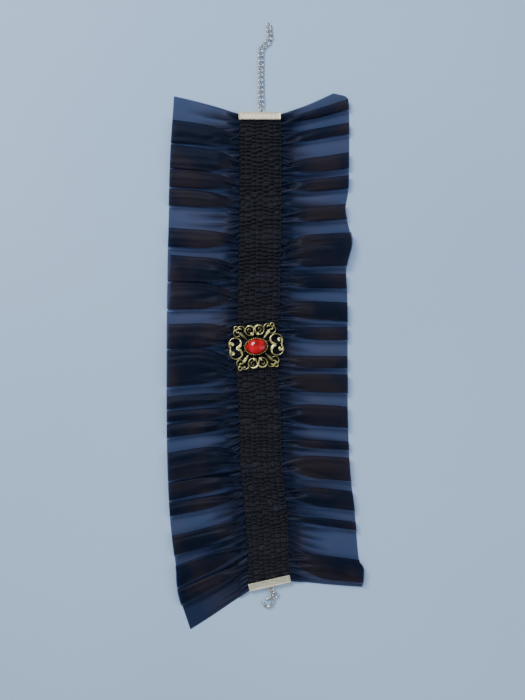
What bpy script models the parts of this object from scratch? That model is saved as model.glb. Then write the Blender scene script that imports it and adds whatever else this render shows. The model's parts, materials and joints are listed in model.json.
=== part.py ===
"""A ruffled choker collar lying flat: a shirred organza band with a pleated ruffle on each side,
a metal crimp at each end, an extension chain, a lobster clasp and a filigree ornament with a stone.

The origin is on the flat underside, below the middle of the ornament. +Y runs along the band to
the chain, +X across it, +Z up. Sizes in the tables are millimetres; MM turns them into metres.
"""

import math

import bmesh
import bpy
import numpy as np
from mathutils import Matrix, Vector

MM = 0.001

# Cloth
WALL = 1.0
HALF_WALL = WALL / 2
SEAM_GAP = 0.3
FOLD_LAYER = 1.6
FOLD_CROWN = 0.5
FOLD_TURN = 0.7
FOLD_DROP = 1.3
FOLD_FRONT = 2.7
FOLD_BACK = 0.2
SMALLEST_FLAT = 1.2
LONGEST_MITRE = 1.5
SHARP_ANGLE = math.radians(35)

# Shirred band
BAND_WIDTH = 25.0
BAND_TOP_END = 137.0
BAND_BOTTOM_END = -138.6
BOTTOM_TILT = math.radians(12.5)
TILT_START = -70.0
RIB_COUNT = 90
RIB_CREST = 3.0
RIB_GROOVE = 1.9
RIB_START = 1.4
STITCH_DIP = 0.6
GROOVE_DIP = 0.18
BAND_IN_CRIMP = (0.8, 2.6)

# Middle of the band: y along it, x of its middle
BAND_LINE = (
    (137.5, 2.0),
    (86.0, 2.2),
    (27.5, 1.2),
    (0.0, 0.2),
    (-20.5, 0.5),
    (-29.0, 1.4),
    (-68.0, 2.6),
    (-106.5, 6.1),
    (-131.0, 6.9),
    (-139.5, 8.0),
)

# Across the band: place from its middle, and whether an elastic stitch row pulls it down there
BAND_ACROSS = (
    (-12.5, True),
    (-9.8, False),
    (-7.4, True),
    (-3.0, True),
    (0.5, False),
    (4.0, True),
    (8.1, True),
    (10.2, False),
    (12.5, True),
)

# Outer edge of each ruffle: y along the collar, x of the hem
LEFT_HEM = (
    (148.0, -48.8),
    (119.3, -50.6),
    (75.5, -51.8),
    (50.9, -52.4),
    (-7.6, -52.9),
    (-66.0, -52.4),
    (-101.2, -50.6),
    (-128.7, -47.1),
    (-142.2, -45.9),
    (-165.0, -38.6),
)
RIGHT_HEM = (
    (149.7, 45.2),
    (148.0, 52.4),
    (144.5, 54.1),
    (127.5, 54.7),
    (92.4, 54.1),
    (80.1, 52.4),
    (61.4, 55.9),
    (46.8, 52.9),
    (29.3, 53.4),
    (-4.7, 53.5),
    (-36.3, 53.5),
    (-71.4, 54.7),
    (-97.1, 57.5),
    (-125.2, 60.0),
    (-128.7, 62.3),
    (-140.4, 61.9),
)

# Where each ruffle's cloth comes from: y at the hem, y along the band where it is gathered
LEFT_ROOTS = (
    (148.0, 137.3),
    (118.0, 114.5),
    (74.0, 71.0),
    (27.0, 27.0),
    (-17.0, -15.0),
    (-50.0, -45.5),
    (-84.0, -77.0),
    (-104.0, -93.5),
    (-124.0, -108.0),
    (-142.0, -121.0),
    (-156.0, -132.0),
    (-165.0, -139.2),
)
RIGHT_ROOTS = (
    (149.7, 137.3),
    (127.0, 120.0),
    (100.0, 96.5),
    (58.0, 56.0),
    (17.0, 18.0),
    (-26.0, -24.5),
    (-56.0, -54.0),
    (-80.0, -77.0),
    (-104.0, -100.5),
    (-122.0, -118.0),
    (-134.0, -131.5),
    (-140.4, -139.2),
)

# Pressed folds from the chain end to the clasp end: the flat cloth before a fold, the fold's width,
# its height, and how far its upper layers stop short of the hem
LEFT_FOLDS = (
    (15.8, 12.9, 4.8, 0.6),
    (1.7, 13.2, 5.2, 0.4),
    (1.2, 9.7, 4.6, 0.2),
    (1.8, 9.3, 4.6, 0.2),
    (13.8, 10.6, 5.0, 0.8),
    (5.4, 14.9, 6.0, 1.6),
    (1.2, 15.4, 5.6, 2.0),
    (9.1, 14.0, 5.2, 1.2),
    (1.2, 21.3, 6.4, 1.4),
    (5.6, 7.3, 4.6, 0.8),
    (1.2, 6.2, 4.6, 0.8),
    (1.8, 7.5, 4.6, 0.6),
    (8.8, 16.4, 5.8, 1.2),
    (1.2, 10.2, 5.0, 1.0),
    (1.2, 7.8, 4.6, 0.6),
    (11.2, 11.7, 5.2, 0.4),
    (5.9, 12.4, 5.0, 0.2),
    (1.2, 8.8, 4.8, 0.0),
)
RIGHT_FOLDS = (
    (5.2, 5.2, 4.8, 0.2),
    (8.8, 5.9, 4.8, 0.4),
    (11.7, 8.5, 5.2, 0.6),
    (4.9, 7.0, 5.0, 0.2),
    (9.9, 8.2, 5.2, 0.4),
    (8.8, 18.7, 7.0, 0.0),
    (5.3, 8.2, 5.0, 0.6),
    (8.7, 10.8, 5.4, 0.4),
    (3.2, 7.4, 4.8, 0.4),
    (9.8, 6.7, 4.8, 0.6),
    (4.1, 10.5, 5.4, 0.2),
    (8.2, 12.3, 5.6, 0.6),
    (8.0, 5.0, 4.6, 0.2),
    (4.4, 13.7, 5.8, 0.4),
    (5.8, 11.5, 5.2, 0.2),
    (6.3, 5.0, 4.8, 0.2),
    (16.9, 13.6, 5.0, 0.0),
)

# Beyond the gathers at the band: how far out to the hem, and how far the standing folds lie over
RUFFLE_ROWS = (
    (0.13, 0.0),
    (0.38, 1.0),
    (1.0, 1.0),
)
GATHER_HEIGHT = 0.7
STAND_STEP = 0.2

# Crimps
CRIMP_WIDTH = 24.7
CRIMP_DEPTH = 4.4
CRIMP_HEIGHT = 3.4
CRIMP_PLATE = 0.5
FOLD_INSET = 0.15
TOOTH_COUNT = 20
TOOTH_DEPTH = 0.6
CRIMP_TOP_Y = 137.5
CRIMP_TOP_X = 1.9
CRIMP_BOTTOM = (8.1, -139.5)
LOOP_RADIUS = 1.45
LOOP_WIRE = 0.32
LOOP_REACH = 1.35
LOOP_Z = 1.7
TOP_LOOP_SHIFT = 1.0

# Jump rings
RING_RADIUS = 1.8
RING_WIRE = 0.35
RING_LEAN = math.radians(45)
RING_SEAT = 0.4
TOP_RING_HEADING = math.radians(95)
BOTTOM_RING_HEADING = math.radians(-53)

# Extension chain of curb links
LINK_LENGTH = 2.05
LINK_WIDTH = 1.5
LINK_TWIST = 0.55
LINK_WIRE = 0.36
LINK_PITCH = 2.95
LINK_STEPS = 12
LINK_REST_Z = 0.93
FIRST_LINK_Z = 1.6
LINK_SINK = 0.14

# Heading of each link from its lower joint, in degrees from +X
LINK_HEADINGS = (
    90.0,
    91.0,
    90.0,
    89.0,
    90.0,
    91.0,
    90.0,
    90.0,
    91.0,
    89.0,
    89.0,
    62.0,
    33.0,
    62.0,
    90.0,
    99.0,
    93.0,
)

# Lobster clasp, with its eye at the local origin and its hook down local -Y
CLASP_TURN = math.radians(-42)
CLASP_MIDDLE_Z = 1.3
CLASP_EYE_RADIUS = 1.5
CLASP_EYE_WIRE = 0.4
CLASP_HEAD = (0.0, -2.7)
CLASP_HEAD_RADIUS = 1.45
CLASP_THICKNESS = 2.4
CLASP_SLOT = (4.0, 4.2, 1.4)
CLASP_SLOT_MIDDLE = (-1.5, -2.9)
CLASP_PIN = (-0.45, -2.75)
CLASP_PIN_RADIUS = 0.3
CLASP_PIN_LENGTH = 2.3
CLASP_PIN_CLEARANCE = 0.3

# Hook of the clasp: x, y and radius along it
CLASP_HOOK = (
    (0.7, -2.9, 0.9),
    (1.7, -4.0, 0.85),
    (2.2, -5.6, 0.8),
    (2.0, -7.3, 0.8),
    (1.0, -8.7, 0.8),
    (-0.5, -9.1, 0.75),
    (-1.8, -8.4, 0.7),
    (-2.2, -7.5, 0.6),
)

# Lever of the clasp: x, y and radius along it
CLASP_LEVER = (
    (-0.45, -2.75, 0.4),
    (-1.3, -4.1, 0.4),
    (-1.9, -5.4, 0.4),
    (-2.1, -6.3, 0.4),
)
CLASP_NUB = ((-0.45, -2.75, 0.4), (-1.7, -2.1, 0.4), (-2.5, -1.9, 0.5))

# Ornament, in its own axes from the middle of the stone
ORNAMENT_MIDDLE = (-0.2, 0.0)
ORNAMENT_TURN = math.radians(6)
ORNAMENT_WIRE = 0.5
ORNAMENT_THIN_WIRE = 0.42
ORNAMENT_BASE_Z = RIB_CREST + SEAM_GAP
# The ornament holds the ruffles' gathers down: how far along the band, and by what share
ORNAMENT_REACH = 13.0
ORNAMENT_HOLD = 0.55
SETTING_AXES = (7.4, 5.4)
SETTING_THICKNESS = 1.0
SETTING_RIM = (6.75, 4.95)
RIM_WIRE = 0.5
RIM_Z = 0.9
RIM_STEPS = 24
STONE_AXES = (5.85, 4.35)
STONE_SIDES = 14

# Rings of the stone's facets: height, scale and turn, in steps between corners
STONE_LEVELS = (
    (0.0, 0.9, 0.0),
    (0.9, 1.0, 0.0),
    (1.9, 0.84, 0.5),
    (2.8, 0.55, 0.0),
)

# Arcs in one quarter of the ornament: middle, first and last angle in degrees, first and last
# radius, and number of points
SCROLL = ((12.0, 2.45), -41, 150, 3.75, 3.75, 7)
SCROLL_TIP = ((12.0, 2.45), 175, 235, 3.4, 2.0, 2)
CURL = ((13.7, 1.8), -60, 190, 1.25, 0.8, 4)
HEART = ((2.65, 9.5), -80, 140, 2.75, 2.75, 7)
HEART_LOBE = ((7.7, 10.5), 25, 205, 2.1, 2.1, 5)
SCROLL_LOBE = ((10.2, 8.9), 70, -110, 2.1, 2.2, 5)
CORNER_RING = ((10.5, 11.7), 0, 300, 1.0, 1.0, 6)

# Other wires in the quarter: x, y and radius along them
CURL_RADII = (0.42, 0.42, 0.5, 0.6)
HEART_ROOT = ((0.2, 5.4, 0.5),)
HEART_TIP = ((0.35, 10.4, 0.5), (1.1, 9.2, 0.6), (1.6, 8.3, 0.75))
PETAL = ((9.6, 9.9, 0.45), (8.0, 8.0, 0.95), (6.2, 5.8, 0.8), (4.6, 3.8, 0.45))
BRIDGE = ((6.4, 2.3, 0.42), (8.5, 2.7, 0.42))


def smooth_table(table, place):
    """The table's second column at a place in its first, eased between rows."""
    rows = sorted(table)
    keys = [row[0] for row in rows]
    place = min(max(place, keys[0]), keys[-1])
    after = max(1, min(int(np.searchsorted(keys, place)), len(rows) - 1))
    slopes = []
    for i in (after - 1, after):
        low, high = rows[max(i - 1, 0)], rows[min(i + 1, len(rows) - 1)]
        slopes.append((high[1] - low[1]) / (high[0] - low[0]))
    (x0, y0), (x1, y1) = rows[after - 1][:2], rows[after][:2]
    span = x1 - x0
    t = (place - x0) / span
    return (
        (2 * t**3 - 3 * t**2 + 1) * y0
        + (t**3 - 2 * t**2 + t) * span * slopes[0]
        + (3 * t**2 - 2 * t**3) * y1
        + (t**3 - t**2) * span * slopes[1]
    )


def band_point(along, across):
    """A point of the band's plan: its cross lines turn towards the clasp's crimp."""
    turned = min(max((TILT_START - along) / (TILT_START - BAND_BOTTOM_END), 0.0), 1.0)
    tilt = BOTTOM_TILT * turned * turned * (3 - 2 * turned)
    x = smooth_table(BAND_LINE, along) + across * math.cos(tilt)
    return x, along + across * math.sin(tilt)


def make_material(name, colour, roughness, metallic=0.0):
    material = bpy.data.materials.new(name)
    material.use_nodes = True
    shader = material.node_tree.nodes["Principled BSDF"]
    shader.inputs["Base Color"].default_value = (*colour, 1.0)
    shader.inputs["Roughness"].default_value = roughness
    shader.inputs["Metallic"].default_value = metallic
    material.diffuse_color = (*colour, 1.0)
    return material


def add_mesh(name, material, collection, points, faces):
    """A mesh object from points in millimetres, with its faces turned outwards."""
    mesh = bpy.data.meshes.new(name)
    mesh.from_pydata([tuple(c * MM for c in point) for point in points], [], faces)
    shape = bmesh.new()
    shape.from_mesh(mesh)
    bmesh.ops.recalc_face_normals(shape, faces=shape.faces)
    shape.to_mesh(mesh)
    shape.free()
    if material:
        mesh.materials.append(material)
    piece = bpy.data.objects.new(name, mesh)
    collection.objects.link(piece)
    return piece


def wall_faces(rows, columns):
    """Faces of a closed wall between two grids of points, the second listed after the first."""
    offset = rows * columns
    faces = []
    for r in range(rows - 1):
        for c in range(columns - 1):
            i = r * columns + c
            faces.append((i, i + 1, i + columns + 1, i + columns))
            j = i + offset
            faces.append((j, j + columns, j + columns + 1, j + 1))
    for c in range(columns - 1):
        last = (rows - 1) * columns + c
        faces.append((c, c + offset, c + offset + 1, c + 1))
        faces.append((last, last + 1, last + 1 + offset, last + offset))
    for r in range(rows - 1):
        first = r * columns
        last = first + columns - 1
        faces.append((first, first + columns, first + columns + offset, first + offset))
        faces.append((last, last + offset, last + columns + offset, last + columns))
    return faces


def hem_path(folds, length):
    """The hem seen from its end. For each point: how far along and how high it lies once its fold
    is pressed over, the same while the fold still stands, how much it stops short of the hem line,
    and where its cloth starts at the band. Each pressed fold lies in three layers."""
    path, start = [], 0.0
    for flat, width, height, short in folds:
        end = start + max(flat, SMALLEST_FLAT) + width
        back = end - width + FOLD_BACK
        turn = end - FOLD_FRONT
        middle = HALF_WALL + FOLD_LAYER
        top = max(height - HALF_WALL, middle + FOLD_LAYER)
        stand = (turn + back) / 2
        low, high = (HALF_WALL + middle) / 2, (middle + top) / 2
        fold = (
            (start, HALF_WALL, start, HALF_WALL, 0.0),
            (turn, HALF_WALL, stand, HALF_WALL, 0.0),
            (turn + FOLD_TURN, low, stand, low, short * 0.2),
            (turn, middle, stand, middle - STAND_STEP, short * 0.4),
            (back, middle, stand, middle + STAND_STEP, short * 0.6),
            (back - FOLD_TURN, high, stand, high, short * 0.8),
            (back, top, stand, top, short),
            ((back + end) / 2, top + FOLD_CROWN, (stand + end) / 2, top + FOLD_CROWN, short),
            (end - FOLD_DROP, top - FOLD_CROWN, end - FOLD_DROP, top - FOLD_CROWN, short * 0.5),
        )
        for i, point in enumerate(fold):
            path.append((*point, start + (end - start) * i / len(fold)))
        start = end
    for place in (start, length):
        path.append((place, HALF_WALL, place, HALF_WALL, 0.0, place))
    return path


def ruffle_sheet(side, folds, hem, roots):
    """The middle of a ruffle's cloth, a row for each place from the band out to the hem."""
    top = hem[0][0]
    path = hem_path(folds, top - hem[-1][0])

    def root(place):
        return band_point(smooth_table(roots, top - place), side * (BAND_WIDTH / 2 + SEAM_GAP))

    rows = [[(*root(point[-1]), HALF_WALL + (i % 2) * GATHER_HEIGHT) for i, point in enumerate(path)]]
    for out, laid in RUFFLE_ROWS:
        row = []
        for along, high, stand, stand_high, inset, _ in path:
            place = stand + (along - stand) * laid
            near, hem_y = root(place), top - place
            hem_x = smooth_table(hem, hem_y) - side * inset
            hold = ORNAMENT_HOLD * max(0.0, 1 - (near[1] / ORNAMENT_REACH) ** 2) * (1 - laid)
            free_high = stand_high + (high - stand_high) * laid
            row.append(
                (
                    near[0] + (hem_x - near[0]) * out,
                    near[1] + (hem_y - near[1]) * out,
                    free_high - (free_high - HALF_WALL) * hold,
                )
            )
        rows.append(row)
    return rows


def section_normals(row):
    """For each point of a row, the step to the upper side of the cloth, across a wall of 1."""
    normals = []
    for i in range(len(row)):
        steps = []
        for a, b in ((i - 1, i), (i, i + 1)):
            if a >= 0 and b < len(row):
                along, up = row[a][1] - row[b][1], row[b][2] - row[a][2]
                length = math.hypot(along, up)
                steps.append((up / length, along / length))
        y, z = (sum(step[k] for step in steps) for k in (0, 1))
        length = math.hypot(y, z)
        y, z = y / length, z / length
        turned = y * steps[0][0] + z * steps[0][1]
        stretch = LONGEST_MITRE if turned < 1 / LONGEST_MITRE else 1 / turned
        normals.append((y * stretch, z * stretch))
    return normals


def add_ruffle(name, side, folds, hem, roots, material, collection):
    """A ruffle as a wall of cloth, whose lower points stay on the surface it lies on."""
    rows = ruffle_sheet(side, folds, hem, roots)
    upper, lower = [], []
    for row in rows:
        for (x, y, z), (ny, nz) in zip(row, section_normals(row)):
            upper.append((x, y + ny * HALF_WALL, max(z + nz * HALF_WALL, 0.0)))
            lower.append((x, y - ny * HALF_WALL, max(z - nz * HALF_WALL, 0.0)))
    faces = wall_faces(len(rows), len(rows[0]))
    return add_mesh(name, material, collection, upper + lower, faces)


def band_stations():
    """Places along the band with its underside and the state of the rib there: None in a crimp,
    then 0 in a groove and 1 on a crest."""
    low = BAND_IN_CRIMP[0]
    inside = CRIMP_DEPTH - SEAM_GAP
    stations = [(BAND_TOP_END, low, None), (BAND_TOP_END - inside, low, None)]
    start, end = BAND_TOP_END - inside - RIB_START, BAND_BOTTOM_END + inside + RIB_START
    pitch = (start - end) / RIB_COUNT
    for i in range(2 * RIB_COUNT + 1):
        stations.append((start - pitch * i / 2, 0.0, i % 2))
    stations.append((BAND_BOTTOM_END + inside, low, None))
    stations.append((BAND_BOTTOM_END, low, None))
    return stations


def add_band(material, collection):
    """The shirred band: ribs raised over a plain underside, pulled down along the stitch rows."""
    upper, lower = [], []
    stations = band_stations()
    for along, under, rib in stations:
        for across, stitched in BAND_ACROSS:
            x, y = band_point(along, across)
            if rib is None:
                z = BAND_IN_CRIMP[1]
            else:
                z = RIB_CREST if rib else RIB_GROOVE
                z -= stitched * (STITCH_DIP if rib else GROOVE_DIP)
            upper.append((x, y, z))
        for across in (BAND_ACROSS[0][0], BAND_ACROSS[-1][0]):
            lower.append((*band_point(along, across), under))
    wide, count = len(BAND_ACROSS), len(stations)
    base = wide * count
    faces = []
    for r in range(count - 1):
        for c in range(wide - 1):
            i = r * wide + c
            faces.append((i, i + 1, i + wide + 1, i + wide))
        left, right = base + 2 * r, base + 2 * r + 1
        faces.append((left, left + 2, right + 2, right))
        faces.append((r * wide, (r + 1) * wide, left + 2, left))
        faces.append((r * wide + wide - 1, right, right + 2, (r + 1) * wide + wide - 1))
    faces.append((*range(wide), base + 1, base))
    last = (count - 1) * wide
    faces.append((*reversed(range(last, last + wide)), base + 2 * count - 2, base + 2 * count - 1))
    return add_mesh("band", material, collection, upper + lower, faces)


def tube_object(name, points, wire, collection, closed=False, corners=1, radii=None):
    """A wire through points in millimetres, as a mesh with welded caps."""
    curve = bpy.data.curves.new(name, "CURVE")
    curve.dimensions = "3D"
    curve.bevel_depth = wire * MM
    curve.bevel_resolution = corners
    curve.use_fill_caps = not closed
    spline = curve.splines.new("POLY")
    spline.points.add(len(points) - 1)
    for i, point in enumerate(points):
        spline.points[i].co = (*(c * MM for c in point), 1.0)
        spline.points[i].radius = radii[i] / wire if radii else 1.0
    spline.use_cyclic_u = closed
    guide = bpy.data.objects.new(name, curve)
    collection.objects.link(guide)
    piece = mesh_of(guide, name, collection)
    bpy.data.objects.remove(guide)
    return piece


def mesh_of(guide, name, collection):
    """The evaluated shape of an object as a new mesh object, with its points welded."""
    bpy.context.view_layer.update()
    graph = bpy.context.evaluated_depsgraph_get()
    mesh = bpy.data.meshes.new_from_object(guide.evaluated_get(graph))
    shape = bmesh.new()
    shape.from_mesh(mesh)
    bmesh.ops.remove_doubles(shape, verts=shape.verts, dist=0.001 * MM)
    bmesh.ops.recalc_face_normals(shape, faces=shape.faces)
    shape.to_mesh(mesh)
    shape.free()
    piece = bpy.data.objects.new(name, mesh)
    collection.objects.link(piece)
    piece.matrix_world = guide.matrix_world
    return piece


def ring_points(radius, count, axes=None):
    """Points of a flat ring, or of an oval one whose half lengths are given."""
    wide, tall = axes or (radius, radius)
    turns = (2 * math.pi * i / count for i in range(count))
    return [(wide * math.cos(t), tall * math.sin(t), 0.0) for t in turns]


def add_box(name, size, middle, collection):
    mesh = bpy.data.meshes.new(name)
    shape = bmesh.new()
    bmesh.ops.create_cube(shape, size=1.0)
    scale = Matrix.Diagonal((*(s * MM for s in size), 1.0))
    place = Matrix.Translation(Vector(middle) * MM)
    bmesh.ops.transform(shape, matrix=place @ scale, verts=shape.verts)
    shape.to_mesh(mesh)
    shape.free()
    box = bpy.data.objects.new(name, mesh)
    collection.objects.link(box)
    return box


def add_disc(name, axes, thickness, middle, collection, count=24):
    """An upright disc or oval plate."""
    mesh = bpy.data.meshes.new(name)
    shape = bmesh.new()
    bmesh.ops.create_cone(
        shape, cap_ends=True, segments=count, radius1=1.0, radius2=1.0, depth=1.0
    )
    scale = Matrix.Diagonal((axes[0] * MM, axes[1] * MM, thickness * MM, 1.0))
    place = Matrix.Translation(Vector(middle) * MM)
    bmesh.ops.transform(shape, matrix=place @ scale, verts=shape.verts)
    shape.to_mesh(mesh)
    shape.free()
    disc = bpy.data.objects.new(name, mesh)
    collection.objects.link(disc)
    return disc


def combine(piece, others, operation, itself=False):
    """Cuts the others from the piece, or joins them to it, for good."""
    for other in others:
        modifier = piece.modifiers.new(operation.lower(), "BOOLEAN")
        modifier.operation = operation
        modifier.solver = "EXACT"
        modifier.use_self = itself
        modifier.object = other
    bpy.context.view_layer.update()
    graph = bpy.context.evaluated_depsgraph_get()
    mesh = bpy.data.meshes.new_from_object(piece.evaluated_get(graph))
    piece.modifiers.clear()
    piece.data = mesh
    for other in others:
        bpy.data.objects.remove(other)


def finish(piece, name, material, place, collection):
    """Names a piece, gives it its material and puts it in its place."""
    piece.name = name
    piece.data.name = name
    piece.data.materials.clear()
    piece.data.materials.append(material)
    piece.matrix_world = place
    if piece.name not in collection.objects:
        collection.objects.link(piece)
    for polygon in piece.data.polygons:
        polygon.use_smooth = True
    piece.data.set_sharp_from_angle(angle=SHARP_ANGLE)
    return piece


def toothed_plate(name, collection):
    """The front plate of a crimp, whose inner edge is a row of teeth."""
    half, pitch = CRIMP_WIDTH / 2, CRIMP_WIDTH / TOOTH_COUNT
    places = [-half + pitch * i / 2 for i in range(2 * TOOTH_COUNT + 1)]
    points = []
    for z in (CRIMP_HEIGHT, CRIMP_HEIGHT - CRIMP_PLATE):
        points += [(x, 0.0, z) for x in places]
        points += [(x, (1 - i % 2) * TOOTH_DEPTH - CRIMP_DEPTH, z) for i, x in enumerate(places)]
    return add_mesh(name, None, collection, points, wall_faces(2, len(places)))


def add_crimp(name, place, loop_shift, material, collection):
    """A folded metal end: two plates joined by a fold at local y 0, and a loop beyond the fold."""
    back = add_box(
        name,
        (CRIMP_WIDTH, CRIMP_DEPTH, CRIMP_PLATE),
        (0.0, -CRIMP_DEPTH / 2, CRIMP_PLATE / 2),
        collection,
    )
    fold = add_box(
        "fold",
        (CRIMP_WIDTH - 2 * FOLD_INSET, CRIMP_PLATE, CRIMP_HEIGHT - CRIMP_PLATE),
        (0.0, FOLD_INSET - CRIMP_PLATE / 2, CRIMP_HEIGHT / 2),
        collection,
    )
    plate = toothed_plate("plate", collection)
    loop = tube_object(
        "loop", ring_points(LOOP_RADIUS, 12), LOOP_WIRE, collection, closed=True
    )
    reach = Vector((loop_shift, LOOP_REACH, LOOP_Z)) * MM
    loop.data.transform(loop.matrix_world @ Matrix.Translation(reach))
    combine(back, [fold, plate, loop], "UNION")
    return finish(back, name, material, place, collection)


def heading_frame(point, heading, lean=0.0, pitch=0.0):
    """A frame at a point in millimetres, with local +Y along the heading."""
    turn = Matrix.Rotation(heading - math.pi / 2, 4, "Z")
    dip = Matrix.Rotation(pitch, 4, "X")
    roll = Matrix.Rotation(lean, 4, "Y")
    return Matrix.Translation(Vector(point) * MM) @ turn @ dip @ roll


def add_pivot(name, point, collection):
    """An empty on a joint's axis, which the moving piece hangs on."""
    pivot = bpy.data.objects.new(name, None)
    pivot.location = Vector(point) * MM
    pivot.empty_display_size = 0.002
    collection.objects.link(pivot)
    return pivot


def hang(piece, pivot):
    """Parents a piece to its joint's empty and keeps it where it is."""
    bpy.context.view_layer.update()
    piece.parent = pivot
    piece.matrix_parent_inverse = pivot.matrix_world.inverted()


def add_jump_ring(name, near, heading, far_z, material, collection):
    """A round ring that leans through the loop at its near side. Returns its far side too."""
    across = 2 * RING_RADIUS
    pitch = math.asin((far_z - near[2]) / across)
    flat = across * math.cos(pitch)
    far = (near[0] + flat * math.cos(heading), near[1] + flat * math.sin(heading), far_z)
    middle = [(a + b) / 2 for a, b in zip(near, far)]
    ring = tube_object(
        name, ring_points(RING_RADIUS, 16), RING_WIRE, collection, closed=True
    )
    place = heading_frame(middle, heading, RING_LEAN, pitch)
    return finish(ring, name, material, place, collection), far


def link_mesh_points():
    """The middle of a curb link's wire: an oval whose sides lift, so that it lies in its neighbours."""
    points = []
    for i in range(LINK_STEPS):
        t = 2 * math.pi * i / LINK_STEPS
        points.append(
            (LINK_WIDTH * math.cos(t), LINK_LENGTH * math.sin(t), -LINK_TWIST * math.sin(2 * t))
        )
    return points


def add_chain(start, material, collection):
    """The links, each hung on an empty at its joint with the one before. Returns the joints."""
    x, y, _ = start
    height = FIRST_LINK_Z
    joints = []
    for i, degrees in enumerate(LINK_HEADINGS):
        heading = math.radians(degrees)
        name = f"link_{i + 1:02d}"
        joint = (x, y, height)
        lower = max(height - LINK_SINK, LINK_REST_Z)
        middle = (
            x + math.cos(heading) * LINK_PITCH / 2,
            y + math.sin(heading) * LINK_PITCH / 2,
            (height + lower) / 2,
        )
        pivot = add_pivot(f"joint_{name}", joint, collection)
        link = tube_object(name, link_mesh_points(), LINK_WIRE, collection, closed=True)
        finish(link, name, material, heading_frame(middle, heading), collection)
        hang(link, pivot)
        joints.append(joint)
        x += math.cos(heading) * LINK_PITCH
        y += math.sin(heading) * LINK_PITCH
        height = lower
    return joints


def tapered_tube(name, rows, collection):
    points = [(x, y, 0.0) for x, y, _ in rows]
    radii = [radius for _, _, radius in rows]
    return tube_object(name, points, max(radii), collection, radii=radii)


def add_clasp(eye, metal, dark_metal, collection):
    """The clasp's body with its eye and hook, and the lever that closes it, on a pin."""
    drop = CLASP_MIDDLE_Z - eye[2]
    body = add_disc(
        "clasp_body",
        (CLASP_HEAD_RADIUS, CLASP_HEAD_RADIUS),
        CLASP_THICKNESS,
        (*CLASP_HEAD, drop),
        collection,
        16,
    )
    hook = tapered_tube("hook", CLASP_HOOK, collection)
    hook.data.transform(Matrix.Translation((0.0, 0.0, drop * MM)))
    ring = tube_object(
        "eye", ring_points(CLASP_EYE_RADIUS, 14), CLASP_EYE_WIRE, collection, closed=True
    )
    combine(body, [hook, ring], "UNION")
    slot = add_box("slot", CLASP_SLOT, (*CLASP_SLOT_MIDDLE, drop), collection)
    hole = add_disc(
        "hole",
        (CLASP_PIN_RADIUS + CLASP_PIN_CLEARANCE,) * 2,
        CLASP_THICKNESS * 2,
        (*CLASP_PIN, drop),
        collection,
        12,
    )
    combine(body, [slot, hole], "DIFFERENCE")
    lever = tapered_tube("clasp_lever", CLASP_LEVER, collection)
    nub = tapered_tube("nub", CLASP_NUB, collection)
    pin = add_disc(
        "pin", (CLASP_PIN_RADIUS,) * 2, CLASP_PIN_LENGTH, (*CLASP_PIN, 0.0), collection, 12
    )
    combine(lever, [nub, pin], "UNION")
    lever.data.transform(Matrix.Translation((0.0, 0.0, drop * MM)))
    turn = Matrix.Rotation(CLASP_TURN, 4, "Z")
    place = Matrix.Translation(Vector(eye) * MM) @ turn
    finish(body, "clasp_body", metal, place, collection)
    finish(lever, "clasp_lever", dark_metal, place, collection)
    return body, lever, place


def spiral(middle, start, end, first, last, count):
    """Points on a turn about a middle, from one angle and radius to another."""
    points = []
    for i in range(count):
        t = i / (count - 1)
        angle = math.radians(start + (end - start) * t)
        radius = first + (last - first) * t
        points.append((middle[0] + radius * math.cos(angle), middle[1] + radius * math.sin(angle)))
    return points


def quarter_wires():
    """The wires in one quarter of the ornament, each as rows of x, y and radius."""
    plain, thin = ORNAMENT_WIRE, ORNAMENT_THIN_WIRE
    scroll = [(x, y, plain) for x, y in spiral(*SCROLL) + spiral(*SCROLL_TIP)]
    curl = [(x, y, radius) for (x, y), radius in zip(spiral(*CURL), CURL_RADII)]
    heart = [*HEART_ROOT, *((x, y, plain) for x, y in spiral(*HEART)), *HEART_TIP]
    lobes = [[(x, y, thin) for x, y in spiral(*arc)] for arc in (HEART_LOBE, SCROLL_LOBE)]
    return [scroll, curl, heart, *lobes, PETAL, BRIDGE]


def add_ornament(metal, gem, collection):
    """The openwork setting, cast in one piece, and the faceted stone that it holds."""
    middle_z = ORNAMENT_BASE_Z + ORNAMENT_WIRE
    thin = ORNAMENT_THIN_WIRE
    pieces = []
    for across in (1, -1):
        for along in (1, -1):
            for wire in quarter_wires():
                rows = [(across * x, along * y, radius) for x, y, radius in wire]
                pieces.append(tapered_tube("wire", rows, collection))
            flat = [(across * x, along * y, 0.0) for x, y in spiral(*CORNER_RING)]
            pieces.append(tube_object("wire", flat, thin, collection, closed=True))
    rim = tube_object(
        "rim", ring_points(0, RIM_STEPS, SETTING_RIM), RIM_WIRE, collection, closed=True
    )
    rim.data.transform(Matrix.Translation((0.0, 0.0, RIM_Z * MM)))
    pieces.append(rim)
    wires_mesh = bmesh.new()
    for piece in pieces:
        wires_mesh.from_mesh(piece.data)
        bpy.data.objects.remove(piece)
    mesh = bpy.data.meshes.new("wires")
    wires_mesh.to_mesh(mesh)
    wires_mesh.free()
    wires_object = bpy.data.objects.new("wires", mesh)
    collection.objects.link(wires_object)
    setting = add_disc(
        "filigree", SETTING_AXES, SETTING_THICKNESS, (0.0, 0.0, 0.0), collection, RIM_STEPS
    )
    combine(setting, [wires_object], "UNION", itself=True)
    turn = Matrix.Rotation(ORNAMENT_TURN, 4, "Z")
    place = Matrix.Translation(Vector((*ORNAMENT_MIDDLE, middle_z)) * MM) @ turn
    finish(setting, "filigree", metal, place, collection)
    stone_z = middle_z + SETTING_THICKNESS / 2 + SEAM_GAP
    place = Matrix.Translation(Vector((*ORNAMENT_MIDDLE, stone_z)) * MM) @ turn
    stone = add_stone(gem, collection)
    finish(stone, "stone", gem, place, collection)


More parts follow.
